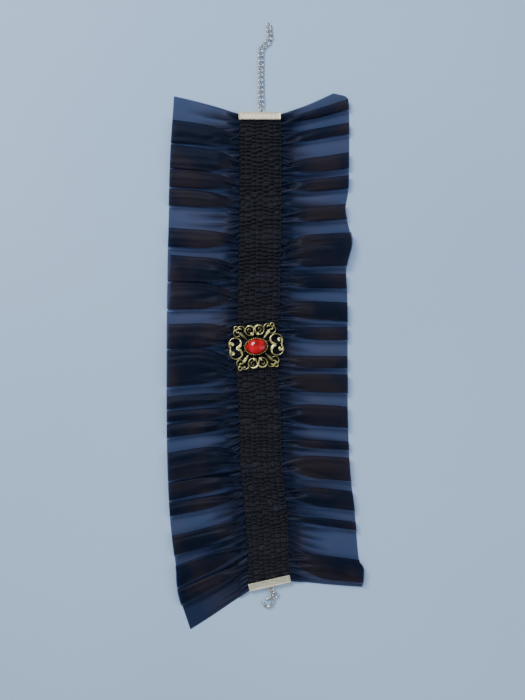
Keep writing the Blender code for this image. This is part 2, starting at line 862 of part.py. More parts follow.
def add_stone(gem, collection):
    """An oval stone: a low girdle, a ring of kite facets and a flat table on top."""
    points, faces = [], []
    for height, scale, shift in STONE_LEVELS:
        for i in range(STONE_SIDES):
            t = 2 * math.pi * (i + shift) / STONE_SIDES
            x, y = (a * scale for a in STONE_AXES)
            points.append((x * math.cos(t), y * math.sin(t), height))
    for level in range(len(STONE_LEVELS) - 1):
        base = level * STONE_SIDES
        turned = STONE_LEVELS[level][2] > STONE_LEVELS[level + 1][2]
        for i in range(STONE_SIDES):
            j = (i + 1) % STONE_SIDES
            a, b = base + i, base + j
            c, d = a + STONE_SIDES, b + STONE_SIDES
            faces += [(a, b, c), (b, d, c)] if not turned else [(a, b, d), (a, d, c)]
    faces.append(tuple(reversed(range(STONE_SIDES))))
    last = (len(STONE_LEVELS) - 1) * STONE_SIDES
    faces.append(tuple(range(last, last + STONE_SIDES)))
    return add_mesh("stone", gem, collection, points, faces)


def clear_scene():
    for thing in list(bpy.data.objects):
        bpy.data.objects.remove(thing)


def main():
    clear_scene()
    collection = bpy.data.collections.new("ruffled choker collar")
    bpy.context.scene.collection.children.link(collection)
    cloth = make_material("organza", (0.012, 0.013, 0.022), 0.55)
    shirring = make_material("shirred organza", (0.008, 0.008, 0.012), 0.8)
    nickel = make_material("brushed nickel", (0.72, 0.70, 0.64), 0.35, 1.0)
    silver = make_material("bright silver", (0.82, 0.83, 0.85), 0.2, 1.0)
    bronze = make_material("antique bronze", (0.55, 0.48, 0.25), 0.4, 1.0)
    gem = make_material("red stone", (0.75, 0.0, 0.02), 0.08)

    left, right = (LEFT_FOLDS, LEFT_HEM, LEFT_ROOTS), (RIGHT_FOLDS, RIGHT_HEM, RIGHT_ROOTS)
    add_ruffle("ruffle_left", -1, *left, cloth, collection)
    add_ruffle("ruffle_right", 1, *right, cloth, collection)
    add_band(shirring, collection)

    top = Matrix.Translation(Vector((CRIMP_TOP_X, CRIMP_TOP_Y, 0.0)) * MM)
    add_crimp("crimp_top", top, TOP_LOOP_SHIFT, nickel, collection)
    bottom = Matrix.Translation(Vector((*CRIMP_BOTTOM, 0.0)) * MM) @ Matrix.Rotation(
        math.pi + BOTTOM_TILT, 4, "Z"
    )
    add_crimp("crimp_bottom", bottom, 0.0, nickel, collection)

    near = (CRIMP_TOP_X + TOP_LOOP_SHIFT, CRIMP_TOP_Y + LOOP_REACH + RING_SEAT, LOOP_Z)
    ring, far = add_jump_ring(
        "ring_top", near, TOP_RING_HEADING, FIRST_LINK_Z, silver, collection
    )
    hang(ring, add_pivot("joint_ring_top", near, collection))
    add_chain((far[0], far[1] - RING_SEAT, far[2]), silver, collection)

    out = math.pi * 1.5 + BOTTOM_TILT
    seat = LOOP_REACH + RING_SEAT
    near = (
        CRIMP_BOTTOM[0] + seat * math.cos(out),
        CRIMP_BOTTOM[1] + seat * math.sin(out),
        LOOP_Z,
    )
    ring, far = add_jump_ring(
        "ring_bottom", near, BOTTOM_RING_HEADING, LOOP_Z, silver, collection
    )
    hang(ring, add_pivot("joint_ring_bottom", near, collection))
    eye = (
        far[0] + RING_SEAT * math.cos(BOTTOM_RING_HEADING),
        far[1] + RING_SEAT * math.sin(BOTTOM_RING_HEADING),
        far[2],
    )
    body, lever, place = add_clasp(eye, silver, silver, collection)
    hang(body, add_pivot("joint_clasp_body", far, collection))
    pin = place @ (Vector((*CLASP_PIN, 0.0)) * MM)
    hang(lever, add_pivot("joint_clasp_lever", pin / MM, collection))

    add_ornament(bronze, gem, collection)


main()
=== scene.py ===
"""The looks of a ruffled choker collar that lies flat: thin organza over the cloth's solids, and
finely made metal, stone and stitches. Sizes in tables are millimetres; MM turns them into metres."""

import json
import math

import bpy
import numpy as np
from mathutils import Matrix, Vector


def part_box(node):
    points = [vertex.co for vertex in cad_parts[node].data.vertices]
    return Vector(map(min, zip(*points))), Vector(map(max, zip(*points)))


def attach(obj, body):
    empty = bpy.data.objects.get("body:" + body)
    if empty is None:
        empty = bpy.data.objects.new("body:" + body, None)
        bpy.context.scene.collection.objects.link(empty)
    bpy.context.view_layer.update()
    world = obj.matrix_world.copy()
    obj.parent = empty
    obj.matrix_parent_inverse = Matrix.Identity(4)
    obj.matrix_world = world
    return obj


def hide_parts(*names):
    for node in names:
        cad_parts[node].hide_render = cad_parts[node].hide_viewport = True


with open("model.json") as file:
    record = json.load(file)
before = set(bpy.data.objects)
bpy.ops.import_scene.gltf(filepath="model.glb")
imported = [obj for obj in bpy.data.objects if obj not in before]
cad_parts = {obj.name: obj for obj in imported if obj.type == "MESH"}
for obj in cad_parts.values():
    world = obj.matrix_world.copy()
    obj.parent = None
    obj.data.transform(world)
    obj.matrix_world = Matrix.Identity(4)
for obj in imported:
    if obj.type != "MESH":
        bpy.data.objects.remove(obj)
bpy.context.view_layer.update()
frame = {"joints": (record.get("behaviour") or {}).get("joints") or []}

MM = 0.001
random = np.random.default_rng(7)

# Camera: nearly overhead, and how much of the floor its frame shows
CAMERA_HEIGHT = 450.0
CAMERA_TILT = math.radians(1.0)
VIEW_HEIGHT = 409.5
VIEW_MIDDLE = (3.5, -2.0, 2.0)
SENSOR = 36.0

# Shirred band
BAND_HALF = 12.5
BAND_TOP_END = 137.0
BAND_BOTTOM_END = -138.6
BOTTOM_TILT = math.radians(12.5)
TILT_START = -70.0
CRIMP_COVER = 4.1
RIB_PITCH = 2.6
RIB_CREST = 2.95
RIB_GROOVE = 0.60
RIB_ROUNDNESS = 0.95
LOWEST_RIB = 0.72
BAND_COLUMNS = 76
BAND_ROWS = 900
# Inside the crimps the cloth is pressed: where this ends, its height and how much the ribs keep
PRESSED_EDGE = 1.0
PRESSED_HEIGHT = 1.0
PRESSED_RIBS = 0.45

# Elastic rows across the band, the dip each makes, and how its stitches are found and laid
STITCH_ROWS = (-11.7, -8.6, -5.2, -1.9, 1.6, 5.0, 8.4, 11.7)
STITCH_WIDTH = 0.55
STITCH_DIP = 0.9
STITCH_THREAD = 0.12
STITCH_LIFT = 0.05
STITCH_REACH = 3
CREST_REACH = 5

# How the ribs' spacing wanders along the band: by how many ribs, over what length, from where
RIB_WANDER = (
    (0.25, 9.0, 0.0),
    (0.12, 4.1, 1.0),
    (0.3, 23.0, 0.0),
)

# How the ribs jog between two elastic rows: the step's half width, the ranges of a quick and a slow
# wave's length, by how many ribs each moves them, and how a rib's height sags along it
STEP_HALF = 0.45
QUICK_JOG = (1.3, 2.1)
SLOW_JOG = (3.0, 6.0)
ANY_PHASE = (0.0, 6.3)
QUICK_RIBS = 0.16
SLOW_RIBS = 0.3
RIB_SAG = 0.14
SAG_TURNS = (1.9, 1.1)

# Middle of the band: y along it, x of its middle
BAND_LINE = (
    (137.5, 2.0), (86.0, 2.2), (27.5, 1.2), (0.0, 0.2), (-20.5, 0.5), (-29.0, 1.4),
    (-68.0, 2.6), (-106.5, 6.1), (-131.0, 6.9), (-139.5, 8.0),
)

# Ruffles
ROOT_INSET = 0.3
CLOTH_STEP = 0.62
RUFFLE_STATIONS = 46
STATION_CROWDING = 0.35
CLOTH_LOW = 0.35
CLOTH_MIDDLE = 2.0
LOWEST_CLOTH = 0.15
SMOOTHINGS = 2

# Pressed folds: their corners, how much lower the upper layer lies than its solid's top, and how
# far the inner corners stop short of the hem, as shares of the fold's own
FOLD_TURN = 0.5
FOLD_BACK = 0.7
FOLD_FRONT = 0.9
FOLD_DROP = 0.2
FOLD_CROWN = 0.45
FOLD_CORNERS = 9
FOLD_SINK = 0.5
LEAST_TOP = 3.7
TOP_LIFT = -0.25
SHORT_SHARES = (0.4, 0.8, 0.9, 0.5)
SMALLEST_FLAT = 1.2
FOLD_WANDER = 0.9

# How far out, as shares of the way to the hem, the cloth comes to lie in its folds and to rise
LIE_EARLY = 0.22
LIE_SPAN = 0.34
LIE_CURVE = 2.2
RISE_REACH = 0.32

# Gathers at the band: ranges of their reach and swell, the second wave in them, and their height
GATHER_HEIGHT = 2.3
GATHER_REACH = (0.3, 0.95)
GATHER_SWELL = (0.5, 1.25)
GATHER_SECOND = 0.35
GATHER_SKEW = 1.3
GATHER_RISE = 0.62
GATHER_START = 0.15
GATHER_MIDDLE = 1.2

# Fine streaks on the way to the hem, and the heights at which they and the creases are in full
STREAK_PITCH = 1.3
STREAK_MARGIN = 2.0
STREAK_RELIEF = 0.24
STREAK_START = (0.1, 0.4)
STREAK_SLANT = 3.0
STREAK_BEND = 2.2
STREAK_FULL = 2.0
CREASE_FULL = 3.0

# Layers that one face of the mesh stands for: in the folds that the mesh can't follow, close to
# the band, in the grooves of the gathers, and in the flap at the clasp end
FOLDED_LAYERS = 1.5
FOLDED_REACH = 0.8
EDGE_LAYERS = 1.3
EDGE_REACH = 0.22
GROOVE_LAYERS = 1.2
GROOVE_REACH = 1.2
FLAP_LAYERS = 0.6

# Outer edge of each ruffle: y along the collar, x of the hem
LEFT_HEM = (
    (148.0, -48.8), (119.3, -50.6), (75.5, -51.8), (50.9, -52.4), (-7.6, -52.9), (-66.0, -52.4),
    (-101.2, -50.6), (-128.7, -47.1), (-142.2, -45.9), (-165.0, -38.6),
)
RIGHT_HEM = (
    (149.7, 45.2), (148.0, 52.4), (144.5, 54.1), (127.5, 54.7), (92.4, 54.1), (80.1, 52.4),
    (61.4, 55.9), (46.8, 52.9), (29.3, 53.4), (-4.7, 53.5), (-36.3, 53.5), (-71.4, 54.7),
    (-97.1, 57.5), (-125.2, 60.0), (-128.7, 62.3), (-140.4, 61.9),
)

# Where each ruffle's cloth comes from: y at the hem, y along the band where it is gathered
LEFT_ROOTS = (
    (148.0, 137.3), (118.0, 114.5), (74.0, 71.0), (27.0, 27.0), (-17.0, -15.0), (-50.0, -45.5),
    (-84.0, -77.0), (-104.0, -93.5), (-124.0, -108.0), (-142.0, -121.0), (-156.0, -132.0), (-165.0, -139.2),
)
RIGHT_ROOTS = (
    (149.7, 137.3), (127.0, 120.0), (100.0, 96.5), (58.0, 56.0), (17.0, 18.0), (-26.0, -24.5),
    (-56.0, -54.0), (-80.0, -77.0), (-104.0, -100.5), (-122.0, -118.0), (-134.0, -131.5), (-140.4, -139.2),
)

# Pressed folds from the chain end to the clasp end: the flat cloth before a fold, the fold's width,
# its height, how far its upper layers stop short of the hem, and how far out it starts to lie over
LEFT_FOLDS = (
    (15.8, 12.9, 4.8, 0.6, 0.30),
    (1.7, 13.2, 5.2, 0.4, 0.42),
    (1.2, 9.7, 4.6, 0.2, 0.38),
    (1.8, 9.3, 4.6, 0.2, 0.45),
    (13.8, 10.6, 5.0, 0.8, 0.36),
    (5.4, 14.9, 6.0, 2.2, 0.30),
    (1.2, 15.4, 5.6, 2.4, 0.44),
    (9.1, 14.0, 5.2, 1.6, 0.34),
    (1.2, 21.3, 6.4, 1.4, 0.40),
    (5.6, 7.3, 4.6, 0.8, 0.36),
    (1.2, 6.2, 4.6, 0.8, 0.48),
    (1.8, 7.5, 4.6, 0.6, 0.40),
    (8.8, 16.4, 5.8, 1.2, 0.32),
    (1.2, 10.2, 5.0, 1.0, 0.44),
    (1.2, 7.8, 4.6, 0.6, 0.38),
    (11.2, 11.7, 5.2, 0.4, 0.34),
    (5.9, 12.4, 5.0, 0.2, 0.40),
    (1.2, 8.8, 4.8, 0.0, 0.36),
)
RIGHT_FOLDS = (
    (5.2, 5.2, 4.8, 0.2, 0.40),
    (8.8, 5.9, 4.8, 0.4, 0.34),
    (11.7, 8.5, 5.2, 0.6, 0.38),
    (4.9, 7.0, 5.0, 0.2, 0.44),
    (9.9, 8.2, 5.2, 0.4, 0.36),
    (8.8, 18.7, 7.0, 0.0, 0.26),
    (5.3, 8.2, 5.0, 0.6, 0.42),
    (8.7, 10.8, 5.4, 0.4, 0.32),
    (3.2, 7.4, 4.8, 0.4, 0.44),
    (9.8, 6.7, 4.8, 0.6, 0.36),
    (4.1, 10.5, 5.4, 0.2, 0.42),
    (8.2, 12.3, 5.6, 0.6, 0.30),
    (8.0, 5.0, 4.6, 0.2, 0.44),
    (4.4, 13.7, 5.8, 0.4, 0.34),
    (5.8, 11.5, 5.2, 0.2, 0.40),
    (6.3, 5.0, 4.8, 0.2, 0.38),
    (16.9, 13.6, 5.0, 0.0, 0.34),
)

# Creases, listed one by one: y at the band and at the hem, where each starts and ends on the way out, how
# # high it stands (or, below zero, how deep it lies) and its half width
LEFT_CREASES = (
    (131.0, 136.0, 0.05, 0.85, 0.9, 1.6),
    (124.0, 120.0, 0.10, 0.55, -0.8, 1.4),
    (113.0, 118.0, 0.00, 0.45, 0.9, 1.2),
    (101.0, 108.0, 0.00, 0.60, -0.9, 1.5),
    (84.0, 92.0, 0.05, 0.50, 0.8, 1.3),
    (69.0, 74.0, 0.00, 0.70, 0.9, 1.8),
    (56.0, 60.0, 0.10, 0.60, -0.8, 1.4),
    (44.0, 47.0, 0.00, 0.45, 0.9, 1.3),
    (30.0, 27.0, 0.05, 0.75, -0.9, 1.7),
    (17.0, 14.0, 0.00, 0.55, 0.8, 1.3),
    (3.0, 6.0, 0.00, 0.60, 0.9, 1.5),
    (-14.0, -17.0, 0.05, 0.70, -0.9, 1.6),
    (-29.0, -32.0, 0.00, 0.50, 0.8, 1.3),
    (-43.0, -50.0, 0.05, 0.65, 0.9, 1.5),
    (-58.0, -64.0, 0.00, 0.55, -0.8, 1.4),
    (-76.0, -84.0, 0.05, 0.70, 0.9, 1.7),
    (-93.0, -104.0, 0.00, 0.60, -0.8, 1.5),
    (-108.0, -124.0, 0.05, 0.75, 0.9, 1.6),
    (-122.0, -142.0, 0.00, 0.65, 0.8, 1.5),
    (-131.0, -156.0, 0.10, 0.90, -0.8, 1.8),
)
RIGHT_CREASES = (
    (132.0, 141.0, 0.05, 0.80, 0.8, 1.4),
    (122.0, 127.0, 0.00, 0.55, -0.8, 1.3),
    (110.0, 114.0, 0.05, 0.60, 0.9, 1.4),
    (97.0, 100.0, 0.00, 0.50, -0.8, 1.3),
    (84.0, 86.0, 0.05, 0.65, 0.9, 1.5),
    (70.0, 77.0, 0.10, 0.85, 0.8, 1.4),
    (62.0, 58.0, 0.00, 0.75, -1.0, 2.0),
    (48.0, 44.0, 0.05, 0.60, 0.9, 1.5),
    (36.0, 38.0, 0.00, 0.45, -0.8, 1.2),
    (21.0, 17.0, 0.05, 0.65, 0.9, 1.5),
    (6.0, 2.0, 0.00, 0.55, -0.8, 1.3),
    (-9.0, -13.0, 0.05, 0.60, 0.9, 1.5),
    (-24.0, -26.0, 0.00, 0.50, -0.8, 1.3),
    (-38.0, -42.0, 0.05, 0.70, 0.9, 1.6),
    (-52.0, -56.0, 0.00, 0.45, 0.8, 1.2),
    (-68.0, -80.0, 0.10, 0.90, -0.9, 1.6),
    (-84.0, -90.0, 0.00, 0.60, 0.9, 1.5),
    (-100.0, -104.0, 0.05, 0.65, -0.8, 1.4),
    (-116.0, -122.0, 0.00, 0.75, 0.9, 1.8),
    (-128.0, -134.0, 0.10, 0.85, -0.8, 1.5),
)

# Cut of the strip of organza: its whole length, and the widths of its stretches
CUT_LENGTH = 650.0
CUT_RUFFLE = 41.0

# Crimps
CRIMP_WIDTH = 24.7
CRIMP_DEPTH = 4.4
CRIMP_HEIGHT = 3.4
CRIMP_WALL = 0.4
CRIMP_INSIDE = 0.25
CRIMP_BACK = 2.0
CRIMP_BULGE = 0.25
CRIMP_BEND_END = 84
CRIMP_COLUMNS = 161
CRIMP_FRONT_ROWS = 26
CRIMP_BEND_ROWS = 12
CRIMP_SHARP = math.radians(40)
CRIMP_TEETH = 32
TOOTH_DEPTH = 0.5
TOOTH_DROP = 0.25
# Where the teeth and the drop to them begin, as shares of the way down the front
TOOTH_START = 0.8
DROP_START = 0.84
# The sunk, hatched panel of a crimp: its upper and lower edge as such shares, and its margin
PANEL_TOP = (0.06, 0.14)
PANEL_FOOT = (0.82, 0.9)
PANEL_MARGIN = 0.4
PANEL_DEPTH = 0.12
HATCH_PITCH = 0.9
HATCH_RELIEF = 0.08
# Each crimp's place in plan and its turn, and the wire loop on it
CRIMP_TOP = (1.9, 137.5, 0.0)
CRIMP_BOTTOM = (8.1, -139.5, math.pi + BOTTOM_TILT)
LOOP_RADIUS = 1.45
LOOP_WIRE = 0.32
LOOP_REACH = 1.35
LOOP_Z = 1.7
TOP_LOOP_SHIFT = 1.0

# Points along each wire and sides around it
LOOP_MESH = (36, 12)
RING_MESH = (44, 14)
LINK_MESH = (32, 12)
EYE_MESH = (40, 14)
THREAD_SIDES = 6
# How far a wire's end stands out, as a share of its radius, and the same for a rounded edge
TIP_SHARE = 0.6
BEVEL_SHARE = 0.3

# Jump rings and curb links
RING_RADIUS = 1.8
RING_WIRE = 0.35
RING_LEAN = math.radians(45)
LINK_LENGTH = 2.05
LINK_WIDTH = 1.5
LINK_TWIST = 0.55
LINK_WIRE = 0.36
LINK_COUNT = 17

# Lobster clasp, with its eye at the local origin and its hook down local -Y
CLASP_TURN = math.radians(-42)
CLASP_MIDDLE_Z = 1.3
CLASP_EYE_RADIUS = 1.5
CLASP_EYE_WIRE = 0.42
CLASP_HEAD = (0.0, -2.7)
CLASP_HEAD_RADIUS = 1.4
CLASP_CHEEK = 0.45
CLASP_CHEEK_Z = 0.93
CLASP_PIN = (-0.45, -2.75)
CLASP_PIN_RADIUS = 0.28
CLASP_PIN_HALF = 1.16
CLASP_PIN_MESH = (20, 0.06)
CLASP_SHARP = math.radians(50)

# Hook and lever of the clasp: x, y, half width and half height along them
CLASP_HOOK = (
    (0.6, -2.3, 0.75, 1.15),
    (1.6, -4.0, 0.75, 1.15),
    (2.1, -5.6, 0.7, 1.1),
    (1.95, -7.3, 0.75, 1.05),
    (1.0, -8.6, 0.75, 0.95),
    (-0.5, -9.0, 0.7, 0.85),
    (-1.8, -8.4, 0.6, 0.7),
    (-2.2, -7.5, 0.35, 0.45),
)
CLASP_LEVER = (
    (-0.45, -2.75, 0.4, 0.5),
    (-1.3, -4.1, 0.4, 0.5),
    (-1.9, -5.4, 0.4, 0.5),
    (-2.1, -6.35, 0.35, 0.4),
)
CLASP_NUB = (
    (-0.45, -2.75, 0.4, 0.45),
    (-1.6, -2.1, 0.36, 0.4),
    (-2.5, -1.9, 0.5, 0.5),
)

# Ornament, in its own axes from the middle of the stone
ORNAMENT_MIDDLE = (-0.2, 0.0)
ORNAMENT_TURN = math.radians(6)
ORNAMENT_Z = 3.8
SETTING_AXES = (7.0, 5.1)
BEAD_AXES = (6.6, 4.8)
BEAD_COUNT = 33
BEAD_RADIUS = 0.3
BEAD_Z = 0.85
CUP_RIM_Z = 0.75
CUP_BASE_Z = -0.5
CUP_MESH = (64, 0.08)
CAST_SHARP = math.radians(60)
STONE_AXES = (5.85, 4.35)
STONE_BASE = 0.8
STONE_SIDES = 18

# Longer wires of one quarter of the ornament. An arc has its middle, the angles and radii at its
# two ends and its number of points
SIDE_ARCS = (
    ((12.0, 2.45), (-41, 150), (3.75, 3.75), 30),
    ((12.0, 2.45), (152, 262), (3.7, 1.9), 18),
)
CURL_START = (15.2, 0.4)
CURL_ARC = ((13.9, 2.5), (-50, 270), (1.45, 0.45), 30)
CURL_WIDTHS = (0.42, 0.66)
HEART_ARC = ((2.65, 9.5), (-112, 150), (2.75, 2.75), 34)
HEART_LINE = ((0.42, 10.2), (0.5, 9.3), (0.75, 8.4), (1.05, 7.6))
HEART_TIP = ((1.75, 7.5), (190, 470), (0.8, 0.35), 16)
OUTLINE_RISE = 0.05
CURL_RISE = 0.1

# Half widths along two of them: number of the point, half width there
SIDE_WIDTHS = ((0, 0.36), (24, 0.36), (30, 0.6), (38, 0.95), (44, 0.85), (47, 0.5))
HEART_WIDTHS = ((0, 0.34), (20, 0.34), (25, 0.65), (30, 0.65), (34, 0.5), (44, 0.42), (62, 0.6))

# Short wires of the quarter: an arc as above, its half widths at both ends and how far it rises
ARC_WIRES = (
    (((2.9, 9.9), (-120, 190), (1.5, 0.45), 16), (0.26, 0.4), -0.1),
    (((7.7, 10.5), (20, 215), (2.1, 2.1), 20), (0.34, 0.34), 0.0),
    (((10.2, 8.9), (75, -120), (2.1, 2.15), 20), (0.34, 0.34), 0.0),
    (((8.5, 10.9), (200, 20), (0.85, 0.45), 12), (0.35, 0.5), 0.1),
    (((10.1, 9.8), (-160, 40), (0.85, 0.45), 12), (0.35, 0.5), 0.1),
)

# Its two stays, low between the setting and the openwork: points, and steps between them
STAYS = (
    (((1.5, 6.9), (1.6, 5.9), (1.5, 4.9)), 4),
    (((6.3, 2.2), (7.6, 2.6), (9.0, 2.8)), 5),
)
STAY_WIDTH = 0.42
STAY_RISE = -0.3

# Its diagonal petal: three ridges along a line, their spread at shares of its length, the way they
# spread, how wide each ridge is and how much of the spread it takes, and how far the ridges rise
PETAL_LINE = ((9.2, 9.3), (8.1, 8.1), (6.6, 6.4), (4.9, 4.4))
PETAL_SPREAD = ((0.0, 0.1), (0.3, 0.55), (0.6, 0.5), (1.0, 0.08))
PETAL_ACROSS = (0.707, -0.707)
RIDGE_WIDTH = 0.2
RIDGE_SHARE = 0.5
RIDGE_RISE = -0.02
RIDGE_DROP = 0.12

# Steps between points of a smooth line, and how high a wire is for its width, within a range
SMOOTH_STEPS = 4
PETAL_STEPS = 8
WIRE_TALLNESS = 1.05
WIRE_HEIGHTS = (0.4, 0.7)

# Eyelet at each corner, and balls: on each quarter, at both sides and at both ends
EYELET_MIDDLE = (10.6, 11.8)
EYELET_RADIUS = 1.05
EYELET_WIRE = 0.42
EYELET_MESH = (20, 10)
QUARTER_BALLS = ((13.9, 2.5), (10.2, 1.1), (1.75, 7.5))
BALL_RADIUS = 0.6
BALL_RISE = 0.15
SIDE_BALL = 15.0
END_BALL = 9.9

# Rings of the stone's facets: height, scale and turn, in steps between corners
STONE_LEVELS = (
    (0.0, 0.92, 0.0),
    (0.9, 1.0, 0.0),
    (1.75, 0.87, 0.5),
    (2.4, 0.66, 0.0),
    (2.8, 0.36, 0.5),
)

# Colours of the materials: two that each one wanders between, or one
ORGANZA_TONES = ((0.004, 0.007, 0.018), (0.024, 0.018, 0.020))
SHIRRED_TONES = ((0.005, 0.0055, 0.013), (0.0145, 0.0145, 0.025))
NICKEL_TONES = ((0.56, 0.53, 0.40), (0.84, 0.80, 0.64))
SILVER_TONES = ((0.34, 0.34, 0.34), (0.88, 0.87, 0.83))
BRONZE_TONES = ((0.50, 0.42, 0.10), (0.98, 0.93, 0.46))
# Setting cup: near-black bronze, painted shade for the dark gap around the stone
CUP_SHADE_TONES = ((0.03, 0.025, 0.01), (0.10, 0.08, 0.03))
STONE_TONES = ((0.2, 0.0, 0.002), (0.62, 0.0, 0.010))
FLOOR_TONES = ((0.42, 0.60, 0.88), (0.48, 0.66, 0.92))
THREAD_COLOUR = (0.010, 0.010, 0.014)
# Painted glow of the stone, which gives off a little red light though it is no lamp
PAINTED_STONE_GLOW = (1.0, 0.0, 0.02, 1.0)
SHEEN_TINT = (0.5, 0.58, 0.85, 1.0)
SHIRRED_SHEEN = (0.5, 0.55, 0.8, 1.0)
GLOSS_TINT = (0.6, 0.72, 1.0, 1.0)

# Organza: the shares of light that a layer lets through between threads and on them, the tints it
# gives to light when single and gathered, its tone when gathered, and the layers that count as that
OPEN_SHARE = 0.50
THREAD_SHARE = 0.36
THROUGH_TINTS = ((0.72, 0.76, 0.95), (0.40, 0.54, 0.95))
GATHERED_TONE = (0.006, 0.010, 0.027, 1.0)
FULLY_GATHERED = 3.6
WEAVE_PITCH = 0.3

# Share of the bronze's colour that is left in its recesses, and the heights between which this darkening,
# partly dark patina and partly painted shade, gives way to rubbed metal
PATINA_AND_SHADE_SHARE = 0.06
PATINA_AND_SHADE_HEIGHTS = (3.95, 4.4)

# Scale of the noise on the crimps along each axis: along X its spots are drawn out to lines
BRUSHING = (150.0, 3000.0, 3000.0)

# Floor and sky, and lights that aim at the middle: name, place and size in metres, power, colour
FLOOR_HALF = 2000.0
SKY_COLOUR = (0.85, 0.92, 1.0, 1.0)
SKY_STRENGTH = 0.4
LIGHTS = (
    ("key", (-0.45, 0.55, 0.8), 0.5, 9.0, (1.0, 0.98, 0.95)),
    ("fill", (0.7, -0.3, 0.7), 0.8, 3.0, (0.9, 0.95, 1.0)),
)


def set_inputs(node, **values):
    """Sets inputs of a node by their names, with _ for each space."""
    for name, value in values.items():
        node.inputs[name.replace("_", " ")].default_value = value


def new_material(name, colour, roughness, metallic=0.0):
    """A material with its main shader, and its node tree to add to."""
    material = bpy.data.materials.new(name)
    material.use_nodes = True
    tree = material.node_tree
    shader = tree.nodes["Principled BSDF"]
    set_inputs(shader, Base_Color=(*colour, 1.0), Roughness=roughness, Metallic=metallic)
    return material, tree, shader


def noise_node(tree, scale, detail):
    place = tree.nodes.new("ShaderNodeTexCoord")
    noise = tree.nodes.new("ShaderNodeTexNoise")
    set_inputs(noise, Scale=scale, Detail=detail)
    tree.links.new(place.outputs["Object"], noise.inputs["Vector"])
    return noise


def ramp_node(tree, source, tones, first=0.0, last=1.0):
    """A ramp between two colours, driven by another node's value."""
    ramp = tree.nodes.new("ShaderNodeValToRGB")
    for stop, place, tone in zip(ramp.color_ramp.elements, (first, last), tones):
        stop.position = place
        stop.color = (*tone, 1.0)
    tree.links.new(source, ramp.inputs["Fac"])
    return ramp


def bump_node(tree, shader, source, strength, distance):
    bump = tree.nodes.new("ShaderNodeBump")
    set_inputs(bump, Strength=strength, Distance=distance * MM)
    tree.links.new(source, bump.inputs["Height"])
    tree.links.new(bump.outputs["Normal"], shader.inputs["Normal"])


def mottled(name, tones, stops, scale, detail, roughness, metallic=0.0):
    """A material whose colour wanders between two tones, with its tree, shader and colour ramp."""
    material, tree, shader = new_material(name, tones[1], roughness, metallic)
    noise = noise_node(tree, scale, detail)
    ramp = ramp_node(tree, noise.outputs["Fac"], tones, *stops)
    tree.links.new(ramp.outputs["Color"], shader.inputs["Base Color"])
    return material, tree, shader, ramp


def weave_height(tree):
    """The height of a plain weave on the cloth's own flat sizes, from two crossed waves."""
    flat = tree.nodes.new("ShaderNodeUVMap")
    flat.uv_map = "cloth"
    waves = []
    for direction in ("X", "Y"):
        wave = tree.nodes.new("ShaderNodeTexWave")
        wave.bands_direction = direction
        set_inputs(wave, Scale=1 / (WEAVE_PITCH * MM * math.pi))
        set_inputs(wave, Distortion=0.4, Detail=1.0, Detail_Scale=0.3)
        tree.links.new(flat.outputs["UV"], wave.inputs["Vector"])
        waves.append(wave)
    mix = tree.nodes.new("ShaderNodeMath")
    mix.operation = "MAXIMUM"
    for i, wave in enumerate(waves):
        tree.links.new(wave.outputs["Fac"], mix.inputs[i])
    return mix.outputs["Value"]


def organza():
    """Dark, see-through organza: each layer lets some blue light through, and has a soft sheen.
    Cloth gathered finer than its mesh lets less through, as the attribute "gathered" tells."""
    material, tree, shader, tone = mottled("organza", ORGANZA_TONES, (0.42, 0.62), 38.0, 2.5, 0.45)
    set_inputs(shader, Sheen_Weight=0.1, Sheen_Roughness=0.35, Sheen_Tint=SHEEN_TINT)
    set_inputs(shader, Specular_IOR_Level=0.18, Specular_Tint=GLOSS_TINT)
    weave = weave_height(tree)
    bump_node(tree, shader, weave, 0.35, 0.04)
    gathered = tree.nodes.new("ShaderNodeAttribute")
    gathered.attribute_name = "gathered"
    thread_gap = tree.nodes.new("ShaderNodeMapRange")
    set_inputs(thread_gap, To_Min=OPEN_SHARE, To_Max=THREAD_SHARE)
    tree.links.new(weave, thread_gap.inputs["Value"])
    through = tree.nodes.new("ShaderNodeMath")
    through.operation = "POWER"
    tree.links.new(thread_gap.outputs["Result"], through.inputs[0])
    tree.links.new(gathered.outputs["Fac"], through.inputs[1])
    deep = tree.nodes.new("ShaderNodeMapRange")
    set_inputs(deep, From_Min=1.0, From_Max=FULLY_GATHERED)
    tree.links.new(gathered.outputs["Fac"], deep.inputs["Value"])
    tint = ramp_node(tree, deep.outputs["Result"], THROUGH_TINTS)
    cool = tree.nodes.new("ShaderNodeMix")
    cool.data_type = "RGBA"
    cool.inputs[7].default_value = GATHERED_TONE
    tree.links.new(deep.outputs["Result"], cool.inputs["Factor"])
    tree.links.new(tone.outputs["Color"], cool.inputs[6])
    tree.links.new(cool.outputs[2], shader.inputs["Base Color"])
    clear = tree.nodes.new("ShaderNodeBsdfTransparent")
    tree.links.new(tint.outputs["Color"], clear.inputs["Color"])
    mix = tree.nodes.new("ShaderNodeMixShader")
    tree.links.new(through.outputs["Value"], mix.inputs["Fac"])
    tree.links.new(shader.outputs["BSDF"], mix.inputs[1])
    tree.links.new(clear.outputs["BSDF"], mix.inputs[2])
    tree.links.new(mix.outputs["Shader"], tree.nodes["Material Output"].inputs["Surface"])
    return material


def shirred_cloth():
    """The same cloth gathered so tightly that nothing shows through it."""
    material, tree, shader, _ = mottled("shirred organza", SHIRRED_TONES, (0.35, 0.7), 600.0, 3.0, 0.6)
    set_inputs(shader, Specular_IOR_Level=0.25)
    set_inputs(shader, Sheen_Weight=0.06, Sheen_Roughness=0.4, Sheen_Tint=SHIRRED_SHEEN)
    bump_node(tree, shader, weave_height(tree), 0.5, 0.05)
    return material


def thread():
    material, tree, shader = new_material("thread", THREAD_COLOUR, 0.6)
    set_inputs(shader, Sheen_Weight=0.1)
    tone = noise_node(tree, 1500.0, 2.0)
    bump_node(tree, shader, tone.outputs["Fac"], 0.4, 0.05)
    return material


